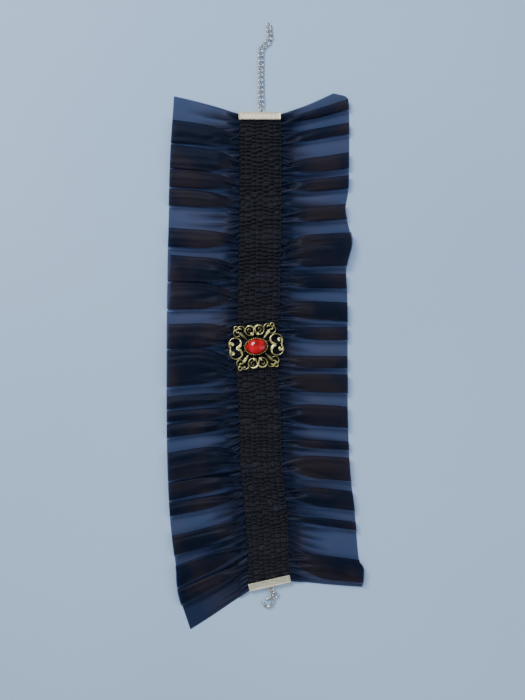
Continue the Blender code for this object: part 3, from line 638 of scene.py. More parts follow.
def plated(name, tones, roughness, spots, relief, recess=None):
    """Plated metal with a tone that wanders and small dents in its polish. recess gives the
    heights between which a darkening of the lower parts, partly dark patina and partly painted
    shade in the recesses, gives way to rubbed metal."""
    material, tree, shader, ramp = mottled(name, tones, (0.3, 0.62), spots, 3.0, roughness, 1.0)
    # Darker by height towards the recesses: partly patina, partly painted shade
    if recess:
        place = tree.nodes.new("ShaderNodeTexCoord")
        split = tree.nodes.new("ShaderNodeSeparateXYZ")
        level = tree.nodes.new("ShaderNodeMapRange")
        set_inputs(level, From_Min=recess[0] * MM, From_Max=recess[1] * MM, To_Min=PATINA_AND_SHADE_SHARE)
        shade = tree.nodes.new("ShaderNodeMix")
        shade.data_type = "RGBA"
        shade.blend_type = "MULTIPLY"
        set_inputs(shade, Factor=1.0)
        tree.links.new(place.outputs["Object"], split.inputs["Vector"])
        tree.links.new(split.outputs["Z"], level.inputs["Value"])
        tree.links.new(ramp.outputs["Color"], shade.inputs[6])
        tree.links.new(level.outputs["Result"], shade.inputs[7])
        tree.links.new(shade.outputs[2], shader.inputs["Base Color"])
    dents = noise_node(tree, spots * 2.5, 2.0)
    bump_node(tree, shader, dents.outputs["Fac"], relief, 0.05)
    return material


def brushed_nickel():
    """Pale nickel whose brushed lines run along the crimp."""
    material, tree, shader = new_material("brushed nickel", NICKEL_TONES[1], 0.5, 1.0)
    place = tree.nodes.new("ShaderNodeTexCoord")
    stretch = tree.nodes.new("ShaderNodeMapping")
    set_inputs(stretch, Scale=BRUSHING)
    noise = tree.nodes.new("ShaderNodeTexNoise")
    set_inputs(noise, Scale=1.0)
    tree.links.new(place.outputs["Object"], stretch.inputs["Vector"])
    tree.links.new(stretch.outputs["Vector"], noise.inputs["Vector"])
    ramp = ramp_node(tree, noise.outputs["Fac"], NICKEL_TONES, 0.35, 0.65)
    tree.links.new(ramp.outputs["Color"], shader.inputs["Base Color"])
    bump_node(tree, shader, noise.outputs["Fac"], 0.25, 0.03)
    return material


def red_stone():
    """A clear red stone with a painted glow: a faint red emission stands in for light from a bright foil
    below it.
    """
    material, _, shader, _ = mottled("red stone", STONE_TONES, (0.35, 0.6), 260.0, 1.0, 0.06)
    # Painted glow: a faint red emission from the stone
    set_inputs(shader, IOR=1.5, Emission_Color=PAINTED_STONE_GLOW, Emission_Strength=0.07)
    return material


def pale_floor():
    return mottled("floor", FLOOR_TONES, (0.3, 0.7), 3.0, 2.0, 0.9)[0]


def ease(low, high, value):
    """0 below low, 1 above high, and smooth between them."""
    t = np.clip((value - low) / (high - low), 0.0, 1.0)
    return t * t * (3 - 2 * t)


def smooth_table(table, places):
    """The table's second column at each place in its first, eased between rows."""
    rows = np.array(sorted(row[:2] for row in table))
    keys, values = rows[:, 0], rows[:, 1]
    slopes = np.empty(len(rows))
    for i in range(len(rows)):
        low, high = max(i - 1, 0), min(i + 1, len(rows) - 1)
        slopes[i] = (values[high] - values[low]) / (keys[high] - keys[low])
    places = np.clip(places, keys[0], keys[-1])
    after = np.clip(np.searchsorted(keys, places), 1, len(rows) - 1)
    span = keys[after] - keys[after - 1]
    t = (places - keys[after - 1]) / span
    return (
        (2 * t**3 - 3 * t**2 + 1) * values[after - 1]
        + (t**3 - 2 * t**2 + t) * span * slopes[after - 1]
        + (3 * t**2 - 2 * t**3) * values[after]
        + (t**3 - t**2) * span * slopes[after]
    )


def band_point(along, across):
    """A point of the band's plan: its cross lines turn towards the clasp's crimp."""
    turned = np.clip((TILT_START - along) / (TILT_START - BAND_BOTTOM_END), 0.0, 1.0)
    tilt = BOTTOM_TILT * turned * turned * (3 - 2 * turned)
    return smooth_table(BAND_LINE, along) + across * np.cos(tilt), along + across * np.sin(tilt)


def rib_turns(along):
    """How many ribs lie between the collar's middle and a place along it. Their pitch wanders."""
    wander = sum(ribs * np.sin(along / length + start) for ribs, length, start in RIB_WANDER)
    return along / RIB_PITCH + wander


def mesh_piece(name, points, faces, material, flat=None, smooth=True):
    """A mesh object from points in millimetres. flat gives the cloth's own flat place of each."""
    mesh = bpy.data.meshes.new(name)
    mesh.from_pydata((np.asarray(points, float) * MM).tolist(), [], faces)
    mesh.materials.append(material)
    if flat is not None:
        layer = mesh.uv_layers.new(name="cloth")
        corners = np.empty(len(mesh.loops), np.int32)
        mesh.loops.foreach_get("vertex_index", corners)
        layer.data.foreach_set("uv", (np.asarray(flat) * MM)[corners].ravel())
    mesh.polygons.foreach_set("use_smooth", [smooth] * len(mesh.polygons))
    mesh.update()
    piece = bpy.data.objects.new(name, mesh)
    bpy.context.scene.collection.objects.link(piece)
    return piece


def grid_faces(rows, columns):
    start = (np.arange(rows - 1)[:, None] * columns + np.arange(columns - 1)).ravel()
    return np.stack([start, start + 1, start + columns + 1, start + columns], axis=1).tolist()


def settle(piece, body, slot, *nodes):
    """Puts a piece on its body and in place of its solids. slot is not used."""
    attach(piece, body)
    if nodes:
        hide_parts(*nodes)


def add_piece(name, shape, material, body, slot, *nodes, sharp=None):
    """A piece from a shape, with edges steeper than sharp left hard."""
    piece = mesh_piece(name, *shape, material)
    if sharp:
        piece.data.set_sharp_from_angle(angle=sharp)
    settle(piece, body, slot, *nodes)


def fold_corners(folds, length):
    """Corners of the pressed folds as the hem shows them: for each, how far along and how high it
    lies, how much it stops short of the hem, where its fold starts and ends, and its fold."""
    corners, start = [], 0.0
    for k, (flat, width, height, short, _) in enumerate(folds):
        end = start + max(flat, SMALLEST_FLAT) + width
        back, turn = end - width - FOLD_BACK, end - FOLD_FRONT
        top = max(height - FOLD_SINK, LEAST_TOP) + TOP_LIFT
        low, high = (CLOTH_LOW + CLOTH_MIDDLE) / 2, (CLOTH_MIDDLE + top) / 2
        at_turn, at_middle, at_back, at_end = (short * share for share in SHORT_SHARES)
        fold = (
            (start, CLOTH_LOW, 0.0),
            (turn, CLOTH_LOW, 0.0),
            (turn + FOLD_TURN, low, at_turn),
            (turn, CLOTH_MIDDLE, at_middle),
            (back, CLOTH_MIDDLE, at_back),
            (back - FOLD_TURN, high, short),
            (back, top, short),
            ((back + end) / 2, top + FOLD_CROWN, short),
            (end - FOLD_DROP, top - FOLD_CROWN, at_end),
        )
        corners += [(*corner, start, end, k) for corner in fold]
        start = end
    last = len(folds) - 1
    corners.append((start, CLOTH_LOW, 0.0, start, length, last))
    corners.append((length, CLOTH_LOW, 0.0, start, length, last))
    return np.array(corners)


def ruffle_columns(folds, length):
    """The fold corners resampled evenly along the cloth: how far along it each point is, its place
    and height at the hem, how much it stops short, its place at the band and its fold."""
    corners = fold_corners(folds, length)
    steps = np.hypot(np.diff(corners[:, 0]), np.diff(corners[:, 1]))
    cloth = np.concatenate([[0.0], np.cumsum(steps)])
    count = int(cloth[-1] / CLOTH_STEP)
    places = np.linspace(0.0, cloth[-1], count)
    along, high, short = (np.interp(places, cloth, corners[:, i]) for i in range(3))
    root = np.empty(count)
    fold = np.empty(count)
    for k in range(len(folds)):
        own = np.flatnonzero(corners[:, 5] == k)
        first, last = cloth[own[0]], cloth[min(own[0] + FOLD_CORNERS, len(cloth) - 1)]
        inside = (places >= first) & (places <= last)
        low, high_end = corners[own[0], 3], corners[own[0], 4]
        root[inside] = low + (high_end - low) * (places[inside] - first) / (last - first)
        fold[inside] = k + (places[inside] - first) / (last - first)
    tail = places > cloth[-2]
    root[tail] = along[tail]
    fold[tail] = len(folds)
    return places, along, high, short, root, fold


def gather_falloff(out, reach):
    t = np.clip(out / reach, 0.0, 1.0)
    return (1 - t) ** 2 * (1 + 2 * t)


def add_ruffle(name, side, tables, flap_layers, material):
    """A thin ruffle: fine gathers at the band run out into pressed folds at the hem. The flap
    after the last fold is denser by flap_layers, as if its end were turned under."""
    folds, hem, roots, creases = tables
    top, bottom = hem[0][0], hem[-1][0]
    length = top - bottom
    edge = side * (BAND_HALF - ROOT_INSET)
    cloth, laid, high, short, share, fold = ruffle_columns(folds, length)
    turns = rib_turns(smooth_table(roots, top - share))
    ribs = np.arange(math.floor(turns.min()) - 1, math.ceil(turns.max()) + 2)
    reach = np.interp(turns, ribs, random.uniform(*GATHER_REACH, len(ribs)))
    swell = np.interp(turns, ribs, random.uniform(*GATHER_SWELL, len(ribs)))
    second = GATHER_SECOND * np.cos(4 * np.pi * turns + GATHER_SKEW * np.sin(turns))
    ripple = -np.cos(2 * np.pi * turns) - second
    groove = 0.5 - 0.5 * np.clip(ripple, -1, 1)
    starts = np.array([row[4] for row in folds])
    middles = np.arange(len(folds)) + 0.5
    start = np.interp(fold, middles, starts)
    wander = np.interp(fold, middles, random.uniform(-FOLD_WANDER, FOLD_WANDER, len(folds)))

    streak_places = np.arange(0.0, cloth[-1] + STREAK_MARGIN, STREAK_PITCH)
    streak_heights = random.uniform(-1.0, 1.0, len(streak_places))

    points, flat, dense = [], [], []
    even = np.linspace(0.0, 1.0, RUFFLE_STATIONS)
    outs = ease(0.0, 1.0, even) * STATION_CROWDING + even * (1 - STATION_CROWDING)
    for out in outs:
        lying = 1 - np.clip((start + LIE_EARLY - out) / (start + LIE_SPAN), 0, 1) ** LIE_CURVE
        risen = ease(0.0, RISE_REACH, out)
        place = share + (laid - share) * lying
        hem_y = top - place
        root_x, root_y = band_point(smooth_table(roots, hem_y), edge)
        hem_x = smooth_table(hem, hem_y) - side * short
        x = root_x + (hem_x - root_x) * out
        y = root_y + (hem_y - root_y) * out + wander * math.sin(math.pi * out)
        gather = CLOTH_LOW + GATHER_HEIGHT * (0.5 + 0.5 * np.clip(ripple, -1, 1))
        z = gather * (1 - risen) + high * risen
        for _ in range(SMOOTHINGS):
            y[1:-1] = (y[:-2] + 2 * y[1:-1] + y[2:]) / 4
            z[1:-1] = (z[:-2] + 2 * z[1:-1] + z[2:]) / 4
        step_y, step_z = np.gradient(y), np.gradient(z)
        size = np.maximum(np.hypot(step_y, step_z), 1e-6)
        rise = GATHER_RISE * swell * ripple * gather_falloff(out, reach) * ease(0.0, GATHER_START, out)
        y += rise * step_z / size
        z += rise * -step_y / size * np.sign(z - GATHER_MIDDLE)
        for band_y, edge_y, first, last, height, width in creases:
            if first < out < last:
                line = band_y + (edge_y - band_y) * out
                fade = math.sin(math.pi * (out - first) / (last - first)) ** 2
                z += height * fade * np.exp(-(((y - line) / width) ** 2)) * np.clip(z / CREASE_FULL, 0, 1)
        slanted = cloth + STREAK_SLANT * np.sin(out * STREAK_BEND)
        streaks = np.interp(slanted, streak_places, streak_heights)
        z += STREAK_RELIEF * streaks * ease(*STREAK_START, out) * np.clip(z / STREAK_FULL, 0, 1)
        z = np.maximum(z, LOWEST_CLOTH)
        points.append(np.stack([x, y, z], axis=1))
        flat.append(np.stack([cloth, np.full_like(cloth, out * CUT_RUFFLE)], axis=1))
        tucked = groove * gather_falloff(out, reach * GROOVE_REACH)
        crowded = FOLDED_LAYERS * (1 - lying) * ease(FOLDED_REACH, 0.0, out)
        crowded = crowded + EDGE_LAYERS * ease(EDGE_REACH, 0.0, out)
        doubled = flap_layers * ease(len(folds) - 0.5, len(folds), fold)
        dense.append(1.0 + crowded + doubled + GROOVE_LAYERS * swell * tucked)
    faces = grid_faces(len(outs), len(cloth))
    points, flat = np.concatenate(points), np.concatenate(flat)
    piece = mesh_piece(name + "_cloth", points, faces, material, flat)
    layer = piece.data.attributes.new("gathered", "FLOAT", "POINT")
    layer.data.foreach_set("value", np.concatenate(dense))
    settle(piece, "root", "organza", name)
    return piece


def band_heights(along, across):
    """Height of the shirred cloth: ribs that jog from one stitch row to the next."""
    edges = [-BAND_HALF - 2, *STITCH_ROWS, BAND_HALF + 2]
    turns = np.zeros_like(along)
    for low, high in zip(edges[:-1], edges[1:]):
        inside = ease(low - STEP_HALF, low + STEP_HALF, across)
        inside = inside * (1 - ease(high - STEP_HALF, high + STEP_HALF, across))
        quick, slow, first, second = random.uniform(*zip(QUICK_JOG, SLOW_JOG, ANY_PHASE, ANY_PHASE))
        jog = QUICK_RIBS * np.sin(along / quick + first) + SLOW_RIBS * np.sin(along / slow + second)
        turns += inside * (rib_turns(along) + jog)
    ribs = np.arange(math.floor(turns.min()) - 1, math.ceil(turns.max()) + 2)
    tall = np.interp(turns, ribs, random.uniform(LOWEST_RIB, 1.0, len(ribs)))
    tall *= 1 - RIB_SAG * np.sin(turns * SAG_TURNS[0] + across * SAG_TURNS[1]) ** 2
    round_top = (0.5 + 0.5 * np.cos(2 * np.pi * turns)) ** RIB_ROUNDNESS
    dip = np.zeros_like(across)
    for row in STITCH_ROWS:
        dip = np.maximum(dip, np.exp(-(((across - row) / STITCH_WIDTH) ** 2)))
    crest = RIB_CREST * tall - STITCH_DIP * dip
    return RIB_GROOVE + (crest - RIB_GROOVE) * round_top


def add_band(material):
    along = np.linspace(BAND_TOP_END, BAND_BOTTOM_END, BAND_ROWS)
    across = np.linspace(-BAND_HALF, BAND_HALF, BAND_COLUMNS)
    along, across = np.meshgrid(along, across, indexing="ij")
    x, y = band_point(along, across)
    z = band_heights(along, across)
    top, bottom = BAND_TOP_END - CRIMP_COVER, -BAND_BOTTOM_END - CRIMP_COVER
    inside = np.maximum(ease(top - PRESSED_EDGE, top, along), ease(bottom - PRESSED_EDGE, bottom, -along))
    z = z * (1 - inside) + (PRESSED_HEIGHT + PRESSED_RIBS * (z - RIB_GROOVE)) * inside
    points = np.stack([x, y, z], axis=-1).reshape(-1, 3)
    stretch = CUT_LENGTH / (BAND_TOP_END - BAND_BOTTOM_END)
    flat = np.stack([along * stretch, across], axis=-1).reshape(-1, 2)
    piece = mesh_piece("band_cloth", points, grid_faces(*along.shape), material, flat)
    settle(piece, "root", "shirring", "band")
    return piece, (along, across, x, y, z)


def tube(points, radii, closed=False, sides=10, heights=None):
    """Points and faces of a tube along a line. heights, if given, are its half heights along Z."""
    points = np.asarray(points, float)
    count = len(points)
    radii = np.broadcast_to(np.asarray(radii, float), (count,))
    if closed:
        ahead = np.roll(points, -1, axis=0) - np.roll(points, 1, axis=0)
    else:
        ahead = np.gradient(points, axis=0)
    ahead /= np.linalg.norm(ahead, axis=1)[:, None]
    upright = np.tile([0.0, 0.0, 1.0], (count, 1))
    aside = np.cross(ahead, upright)
    aside /= np.maximum(np.linalg.norm(aside, axis=1)[:, None], 1e-9)
    raised = np.cross(aside, ahead)
    tall = radii if heights is None else np.asarray(heights, float)
    turns = np.arange(sides) * 2 * np.pi / sides
    ring = (
        points[:, None]
        + aside[:, None] * (radii[:, None] * np.cos(turns))[..., None]
        + raised[:, None] * (tall[:, None] * np.sin(turns))[..., None]
    )
    vertices = ring.reshape(-1, 3)
    faces = []
    for i in range(count if closed else count - 1):
        j = (i + 1) % count
        for k in range(sides):
            m = (k + 1) % sides
            faces.append((i * sides + k, i * sides + m, j * sides + m, j * sides + k))
    if not closed:
        starting = points[0] - ahead[0] * radii[0] * TIP_SHARE
        tips = np.array([starting, points[-1] + ahead[-1] * radii[-1] * TIP_SHARE])
        first, last = len(vertices), len(vertices) + 1
        vertices = np.concatenate([vertices, tips])
        base = (count - 1) * sides
        for k in range(sides):
            m = (k + 1) % sides
            faces.append((first, m, k))
            faces.append((last, base + k, base + m))
    return vertices, faces


def curve_through(rows, steps):
    """A smooth line through the rows of a table, with every column eased alike."""
    rows = np.asarray(rows, float)
    padded = np.concatenate([[2 * rows[0] - rows[1]], rows, [2 * rows[-1] - rows[-2]]])
    line = []
    for i in range(1, len(padded) - 2):
        before, here, there, after = padded[i - 1 : i + 3]
        for t in np.arange(steps) / steps:
            line.append(
                0.5
                * (
                    2 * here
                    + (there - before) * t
                    + (2 * before - 5 * here + 4 * there - after) * t**2
                    + (3 * here - before - 3 * there + after) * t**3
                )
            )
    line.append(rows[-1])
    return np.array(line)


def join_shapes(shapes):
    """Several lots of points and faces as one."""
    points, faces, base = [], [], 0
    for some, their_faces in shapes:
        points.append(np.asarray(some))
        faces += [tuple(base + i for i in face) for face in their_faces]
        base += len(some)
    return np.concatenate(points), faces


def placed(shape, matrix):
    """A shape moved by a matrix whose place is in millimetres."""
    points, faces = shape
    turn = np.array(matrix, float)
    return points @ turn[:3, :3].T + turn[:3, 3], faces


def heading_matrix(point, heading, lean=0.0, pitch=0.0):
    """A matrix at a point, with local +Y along the heading."""
    return (
        Matrix.Translation(Vector(point))
        @ Matrix.Rotation(heading - math.pi / 2, 4, "Z")
        @ Matrix.Rotation(pitch, 4, "X")
        @ Matrix.Rotation(lean, 4, "Y")
    )


def ring_tube(radius, wire, mesh):
    """A ring of wire about the origin. mesh gives the points along it and the sides around it."""
    count, sides = mesh
    turns = np.arange(count) * 2 * np.pi / count
    line = np.stack([radius * np.cos(turns), radius * np.sin(turns), 0 * turns], axis=1)
    return tube(line, wire, closed=True, sides=sides)


def add_stitches(grid, material):
    """The thread of each elastic row, as one short stitch over each rib."""
    along, across, x, y, z = grid
    low = BAND_BOTTOM_END + CRIMP_COVER + PRESSED_EDGE
    high = BAND_TOP_END - CRIMP_COVER - PRESSED_EDGE
    shapes = []
    for row in STITCH_ROWS:
        column = int(np.abs(across[0] - row).argmin())
        heights = z[:, column]
        for top in range(CREST_REACH + 1, len(heights) - CREST_REACH - 1):
            near = heights[top - CREST_REACH : top + CREST_REACH + 1]
            if heights[top] == near.max() and low < along[top, column] < high:
                part = slice(top - STITCH_REACH, top + STITCH_REACH + 1)
                line = np.stack([x[part, column], y[part, column], heights[part] + STITCH_LIFT], axis=1)
                shapes.append(tube(line, STITCH_THREAD, sides=THREAD_SIDES))
    add_piece("elastic_stitches", join_shapes(shapes), material, "root", "shirring")


def crimp_shape(loop_shift):
    """A folded crimp: an embossed front with bent teeth, its fold, its back and its loop."""
    half = CRIMP_WIDTH / 2
    across = np.linspace(-half, half, CRIMP_COLUMNS)
    teeth = 0.5 + 0.5 * np.cos(2 * np.pi * (across / CRIMP_WIDTH + 0.5) * CRIMP_TEETH)
    rows = []
    slant = 2 * np.pi / HATCH_PITCH
    for t in np.linspace(0.0, 1.0, CRIMP_FRONT_ROWS):
        y = -CRIMP_DEPTH * t + TOOTH_DEPTH * teeth * ease(TOOTH_START, 1.0, t)
        hatch = np.cos(slant * (across + y)) * np.cos(slant * (across - y))
        panel = ease(*PANEL_TOP, t) * (1 - ease(*PANEL_FOOT, t))
        panel = panel * ease(PANEL_MARGIN - half, 2 * PANEL_MARGIN - half, across)
        panel = panel * (1 - ease(half - 2 * PANEL_MARGIN, half - PANEL_MARGIN, across))
        height = CRIMP_HEIGHT - PANEL_DEPTH * panel + HATCH_RELIEF * hatch * panel
        rows.append(np.stack([across, y, height - TOOTH_DROP * ease(DROP_START, 1.0, t)], axis=1))
    bend = CRIMP_HEIGHT / 2
    folded = []
    for angle in np.radians(np.linspace(-90, CRIMP_BEND_END, CRIMP_BEND_ROWS)):
        y = CRIMP_BULGE * math.cos(angle) + 0 * across
        z = bend + bend * math.sin(angle) + 0 * across
        folded.append(np.stack([across, y, z], axis=1))
    backs = [
        np.stack([across, np.full_like(across, y), 0 * across], axis=1) for y in (-CRIMP_DEPTH, -CRIMP_BACK)
    ]
    outer = np.array([*backs, *folded, *rows])
    shrink = np.array([1.0, 1.0, 1 - 2 * CRIMP_WALL / CRIMP_HEIGHT])
    centre = np.array([0.0, 0.0, bend])
    inner = centre + (outer - centre) * shrink
    inner[:, :, 1] = np.clip(inner[:, :, 1], -CRIMP_DEPTH, -CRIMP_INSIDE)
    inner[-1, :, 1] = outer[-1, :, 1]
    rows_count, columns = outer.shape[:2]
    points = np.concatenate([outer.reshape(-1, 3), inner.reshape(-1, 3)])
    count = rows_count * columns
    faces = [tuple(reversed(face)) for face in grid_faces(rows_count, columns)]
    faces += [tuple(i + count for i in face) for face in grid_faces(rows_count, columns)]
    for c in range(columns - 1):
        last = (rows_count - 1) * columns + c
        faces.append((c, c + 1, c + 1 + count, c + count))
        faces.append((last + 1, last, last + count, last + 1 + count))
    for r in range(rows_count - 1):
        first = r * columns
        last = first + columns - 1
        faces.append((first + columns, first, first + count, first + columns + count))
        faces.append((last, last + columns, last + columns + count, last + count))
    loop = ring_tube(LOOP_RADIUS, LOOP_WIRE, LOOP_MESH)
    return join_shapes([(points, faces), (loop[0] + np.array([loop_shift, LOOP_REACH, LOOP_Z]), loop[1])])


def add_crimp(name, place, loop_shift, material):
    x, y, turn = place
    matrix = Matrix.Translation((x, y, 0.0)) @ Matrix.Rotation(turn, 4, "Z")
    shape = placed(crimp_shape(loop_shift), matrix)
    add_piece(name + "_metal", shape, material, "root", "nickel", name, sharp=CRIMP_SHARP)


def box_middle(node):
    low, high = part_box(node)
    return (low + high) / 2 / MM


def joint_place(child):
    """Where a body's joint is, in millimetres."""
    joint = next(j for j in frame["joints"] if j["child"] == child)
    return Vector(joint["pos_m"]) / MM


def add_ring(name, material):
    """A jump ring with its cut ends meeting, leaning as its solid does."""
    near, middle = joint_place(name), box_middle(name)
    heading = math.atan2(middle.y - near.y, middle.x - near.x)
    pitch = math.asin(min(1.0, (middle.z - near.z) / RING_RADIUS))
    shape = ring_tube(RING_RADIUS, RING_WIRE, RING_MESH)
    shape = placed(shape, heading_matrix(middle, heading, RING_LEAN, pitch))
    add_piece(name + "_wire", shape, material, name, "silver", name)


def add_link(name, material):
    """A curb link: an oval of round wire whose sides lift over its neighbours."""
    near, middle = joint_place(name), box_middle(name)
    heading = math.atan2(middle.y - near.y, middle.x - near.x)
    count, sides = LINK_MESH
    turns = np.arange(count) * 2 * np.pi / count
    oval = (LINK_WIDTH * np.cos(turns), LINK_LENGTH * np.sin(turns), -LINK_TWIST * np.sin(2 * turns))
    shape = tube(np.stack(oval, axis=1), LINK_WIRE, closed=True, sides=sides)
    shape = placed(shape, heading_matrix(middle, heading))
    add_piece(name + "_wire", shape, material, name, "silver", name)


def disc_shape(radius, low, high, sides=40, bevel=0.12):
    """An upright disc with a rounded edge."""
    profile = [
        (0.0, low),
        (radius - bevel, low),
        (radius - bevel * BEVEL_SHARE, low + bevel * BEVEL_SHARE),
        (radius, low + bevel),
        (radius, high - bevel),
        (radius - bevel * BEVEL_SHARE, high - bevel * BEVEL_SHARE),
        (radius - bevel, high),
        (0.0, high),
    ]
    turns = np.arange(sides) * 2 * np.pi / sides
    points = [(r * math.cos(t), r * math.sin(t), z) for r, z in profile[1:-1] for t in turns]
    points += [(0.0, 0.0, low), (0.0, 0.0, high)]
    rings, faces = len(profile) - 2, []
    for i in range(rings - 1):
        for k in range(sides):
            m = (k + 1) % sides
            faces.append((i * sides + k, i * sides + m, (i + 1) * sides + m, (i + 1) * sides + k))
    bottom, top, last = len(points) - 2, len(points) - 1, (rings - 1) * sides
    for k in range(sides):
        m = (k + 1) % sides
        faces.append((bottom, m, k))
        faces.append((top, last + k, last + m))
    return np.array(points), faces


def flat_arm(table, steps=8, sides=16):
    """A cast arm through the rows of a table, with its own half width and half height."""
    line = curve_through(table, steps)
    points = np.column_stack([line[:, :2], np.zeros(len(line))])
    return tube(points, line[:, 2], sides=sides, heights=line[:, 3])


def add_clasp(material):
    """The clasp's body, and its lever on the pin between two cheeks."""
    eye_box = joint_place("clasp_body")
    pin = joint_place("clasp_lever")
    turn = Matrix.Rotation(CLASP_TURN, 4, "Z")
    local = turn @ Vector((*CLASP_PIN, 0.0))
    eye = Vector((pin.x - local.x, pin.y - local.y, eye_box.z))
    place = Matrix.Translation(eye) @ turn
    drop = CLASP_MIDDLE_Z - eye.z
    head = Matrix.Translation((*CLASP_HEAD, drop))
    centre = Matrix.Translation((0.0, 0.0, drop))
    rivet = Matrix.Translation((*CLASP_PIN, drop))
    near, far = CLASP_CHEEK_Z - CLASP_CHEEK / 2, CLASP_CHEEK_Z + CLASP_CHEEK / 2
    body = [
        placed(disc_shape(CLASP_HEAD_RADIUS, near, far), head),
        placed(disc_shape(CLASP_HEAD_RADIUS, -far, -near), head),
        placed(flat_arm(CLASP_HOOK), centre),
        ring_tube(CLASP_EYE_RADIUS, CLASP_EYE_WIRE, EYE_MESH),
    ]
    shape, name = placed(join_shapes(body), place), "clasp_body"
    add_piece("clasp_body_cast", shape, material, name, "silver", name, sharp=CLASP_SHARP)
    lever = [
        placed(flat_arm(CLASP_LEVER), centre),
        placed(flat_arm(CLASP_NUB), centre),
        placed(disc_shape(CLASP_PIN_RADIUS, -CLASP_PIN_HALF, CLASP_PIN_HALF, *CLASP_PIN_MESH), rivet),
    ]
    shape, name = placed(join_shapes(lever), place), "clasp_lever"
    add_piece("clasp_lever_cast", shape, material, name, "silver", name)


def arc(middle, angles, radii, count):
    """Points on a turn about a middle, from one angle and radius to another."""
    t = np.linspace(0.0, 1.0, count)
    angle = np.radians(angles[0] + (angles[1] - angles[0]) * t)
    radius = radii[0] + (radii[1] - radii[0]) * t
    return np.stack([middle[0] + radius * np.cos(angle), middle[1] + radius * np.sin(angle)], axis=1)


def filigree_quarter():
    """The wires of one quarter of the ornament: their points, half widths and how far they rise."""
    side = np.concatenate([arc(*row) for row in SIDE_ARCS])
    curl = np.concatenate([[CURL_START], arc(*CURL_ARC)])
    heart = np.concatenate([arc(*HEART_ARC), curve_through(HEART_LINE, SMOOTH_STEPS), arc(*HEART_TIP)])
    wires = [
        (side, np.interp(np.arange(len(side)), *zip(*SIDE_WIDTHS)), OUTLINE_RISE),
        (curl, np.linspace(*CURL_WIDTHS, len(curl)), CURL_RISE),
        (heart, np.interp(np.arange(len(heart)), *zip(*HEART_WIDTHS)), OUTLINE_RISE),
    ]
    for row, widths, rise in ARC_WIRES:
        line = arc(*row)
        wires.append((line, np.linspace(*widths, len(line)), rise))
    for points, steps in STAYS:
        line = curve_through(points, steps)
        wires.append((line, np.full(len(line), STAY_WIDTH), STAY_RISE))
    petal = curve_through(PETAL_LINE, PETAL_STEPS)
    spread = np.interp(np.linspace(0, 1, len(petal)), *zip(*PETAL_SPREAD))
    for step in (-1, 0, 1):
        ridge = petal + np.array(PETAL_ACROSS) * (step * spread)[:, None]
        wires.append((ridge, RIDGE_WIDTH + RIDGE_SHARE * spread, RIDGE_RISE - RIDGE_DROP * abs(step)))
    return wires


def ball_shape(middle, radius, rings=8, sides=12):
    points, faces = [], []
    for i in range(1, rings):
        polar = math.pi * i / rings
        for k in range(sides):
            t = 2 * math.pi * k / sides
            points.append(
                (math.sin(polar) * math.cos(t), math.sin(polar) * math.sin(t), math.cos(polar))
            )
    points += [(0.0, 0.0, 1.0), (0.0, 0.0, -1.0)]
    top, bottom = len(points) - 2, len(points) - 1
    for k in range(sides):
        m = (k + 1) % sides
        faces.append((top, k, m))
        faces.append((bottom, (rings - 2) * sides + m, (rings - 2) * sides + k))
        for i in range(rings - 2):
            faces.append((i * sides + k, (i + 1) * sides + k, (i + 1) * sides + m, i * sides + m))
    return np.array(points) * radius + np.array(middle), faces


def add_ornament(metal, dark_metal, gem):
    """The cast openwork with its beaded cup, and the faceted stone in it."""
    shapes = []
    for across in (1, -1):
        for along in (1, -1):
            for line, widths, rise in filigree_quarter():
                flat_z = np.full(len(line), rise)
                points = np.column_stack([across * line[:, 0], along * line[:, 1], flat_z])
                heights = np.clip(widths * WIRE_TALLNESS, *WIRE_HEIGHTS)
                shapes.append(tube(points, widths, heights=heights))
            eyelet = ring_tube(EYELET_RADIUS, EYELET_WIRE, EYELET_MESH)
            place = np.array([across * EYELET_MIDDLE[0], along * EYELET_MIDDLE[1], 0.0])
            shapes.append((eyelet[0] + place, eyelet[1]))
            for x, y in QUARTER_BALLS:
                shapes.append(ball_shape((across * x, along * y, BALL_RISE), BALL_RADIUS))
    for across in (1, -1):
        shapes.append(ball_shape((across * SIDE_BALL, 0.0, 0.0), BALL_RADIUS))
        shapes.append(ball_shape((0.0, across * END_BALL, 0.0), BALL_RADIUS))
    cup = disc_shape(1.0, CUP_BASE_Z, CUP_RIM_Z, *CUP_MESH)
    cup = (cup[0] * np.array([*SETTING_AXES, 1.0]), cup[1])
    for t in np.arange(BEAD_COUNT) * 2 * np.pi / BEAD_COUNT:
        x, y = BEAD_AXES[0] * math.cos(t), BEAD_AXES[1] * math.sin(t)
        shapes.append(ball_shape((x, y, BEAD_Z), BEAD_RADIUS))
    place = Matrix.Translation((*ORNAMENT_MIDDLE, ORNAMENT_Z)) @ Matrix.Rotation(ORNAMENT_TURN, 4, "Z")
    casting = placed(join_shapes(shapes), place)
    add_piece("filigree_casting", casting, metal, "root", "bronze", "filigree", sharp=CAST_SHARP)
    # The cup is near-black as painted shade for the dark gap round the stone
    add_piece("setting_cup", placed(cup, place), dark_metal, "root", "bronze", sharp=CAST_SHARP)

    points, faces = [], []
    for height, scale, shift in STONE_LEVELS:
        for i in range(STONE_SIDES):
            t = 2 * math.pi * (i + shift) / STONE_SIDES
            x, y = (a * scale for a in STONE_AXES)
            points.append((x * math.cos(t), y * math.sin(t), height + STONE_BASE))
    for level in range(len(STONE_LEVELS) - 1):
        base = level * STONE_SIDES
        back = STONE_LEVELS[level][2] > STONE_LEVELS[level + 1][2]
        for i in range(STONE_SIDES):
            j = (i + 1) % STONE_SIDES
            a, b, c, d = base + i, base + j, base + STONE_SIDES + i, base + STONE_SIDES + j
            faces += [(a, b, d), (a, d, c)] if back else [(a, b, c), (b, d, c)]
    last = (len(STONE_LEVELS) - 1) * STONE_SIDES
    faces.append(tuple(range(last, last + STONE_SIDES)))
    faces.append(tuple(reversed(range(STONE_SIDES))))
    points, faces = placed((np.array(points), faces), place)
    piece = mesh_piece("faceted_stone", points, faces, gem, smooth=False)
    settle(piece, "root", "stone", "stone")


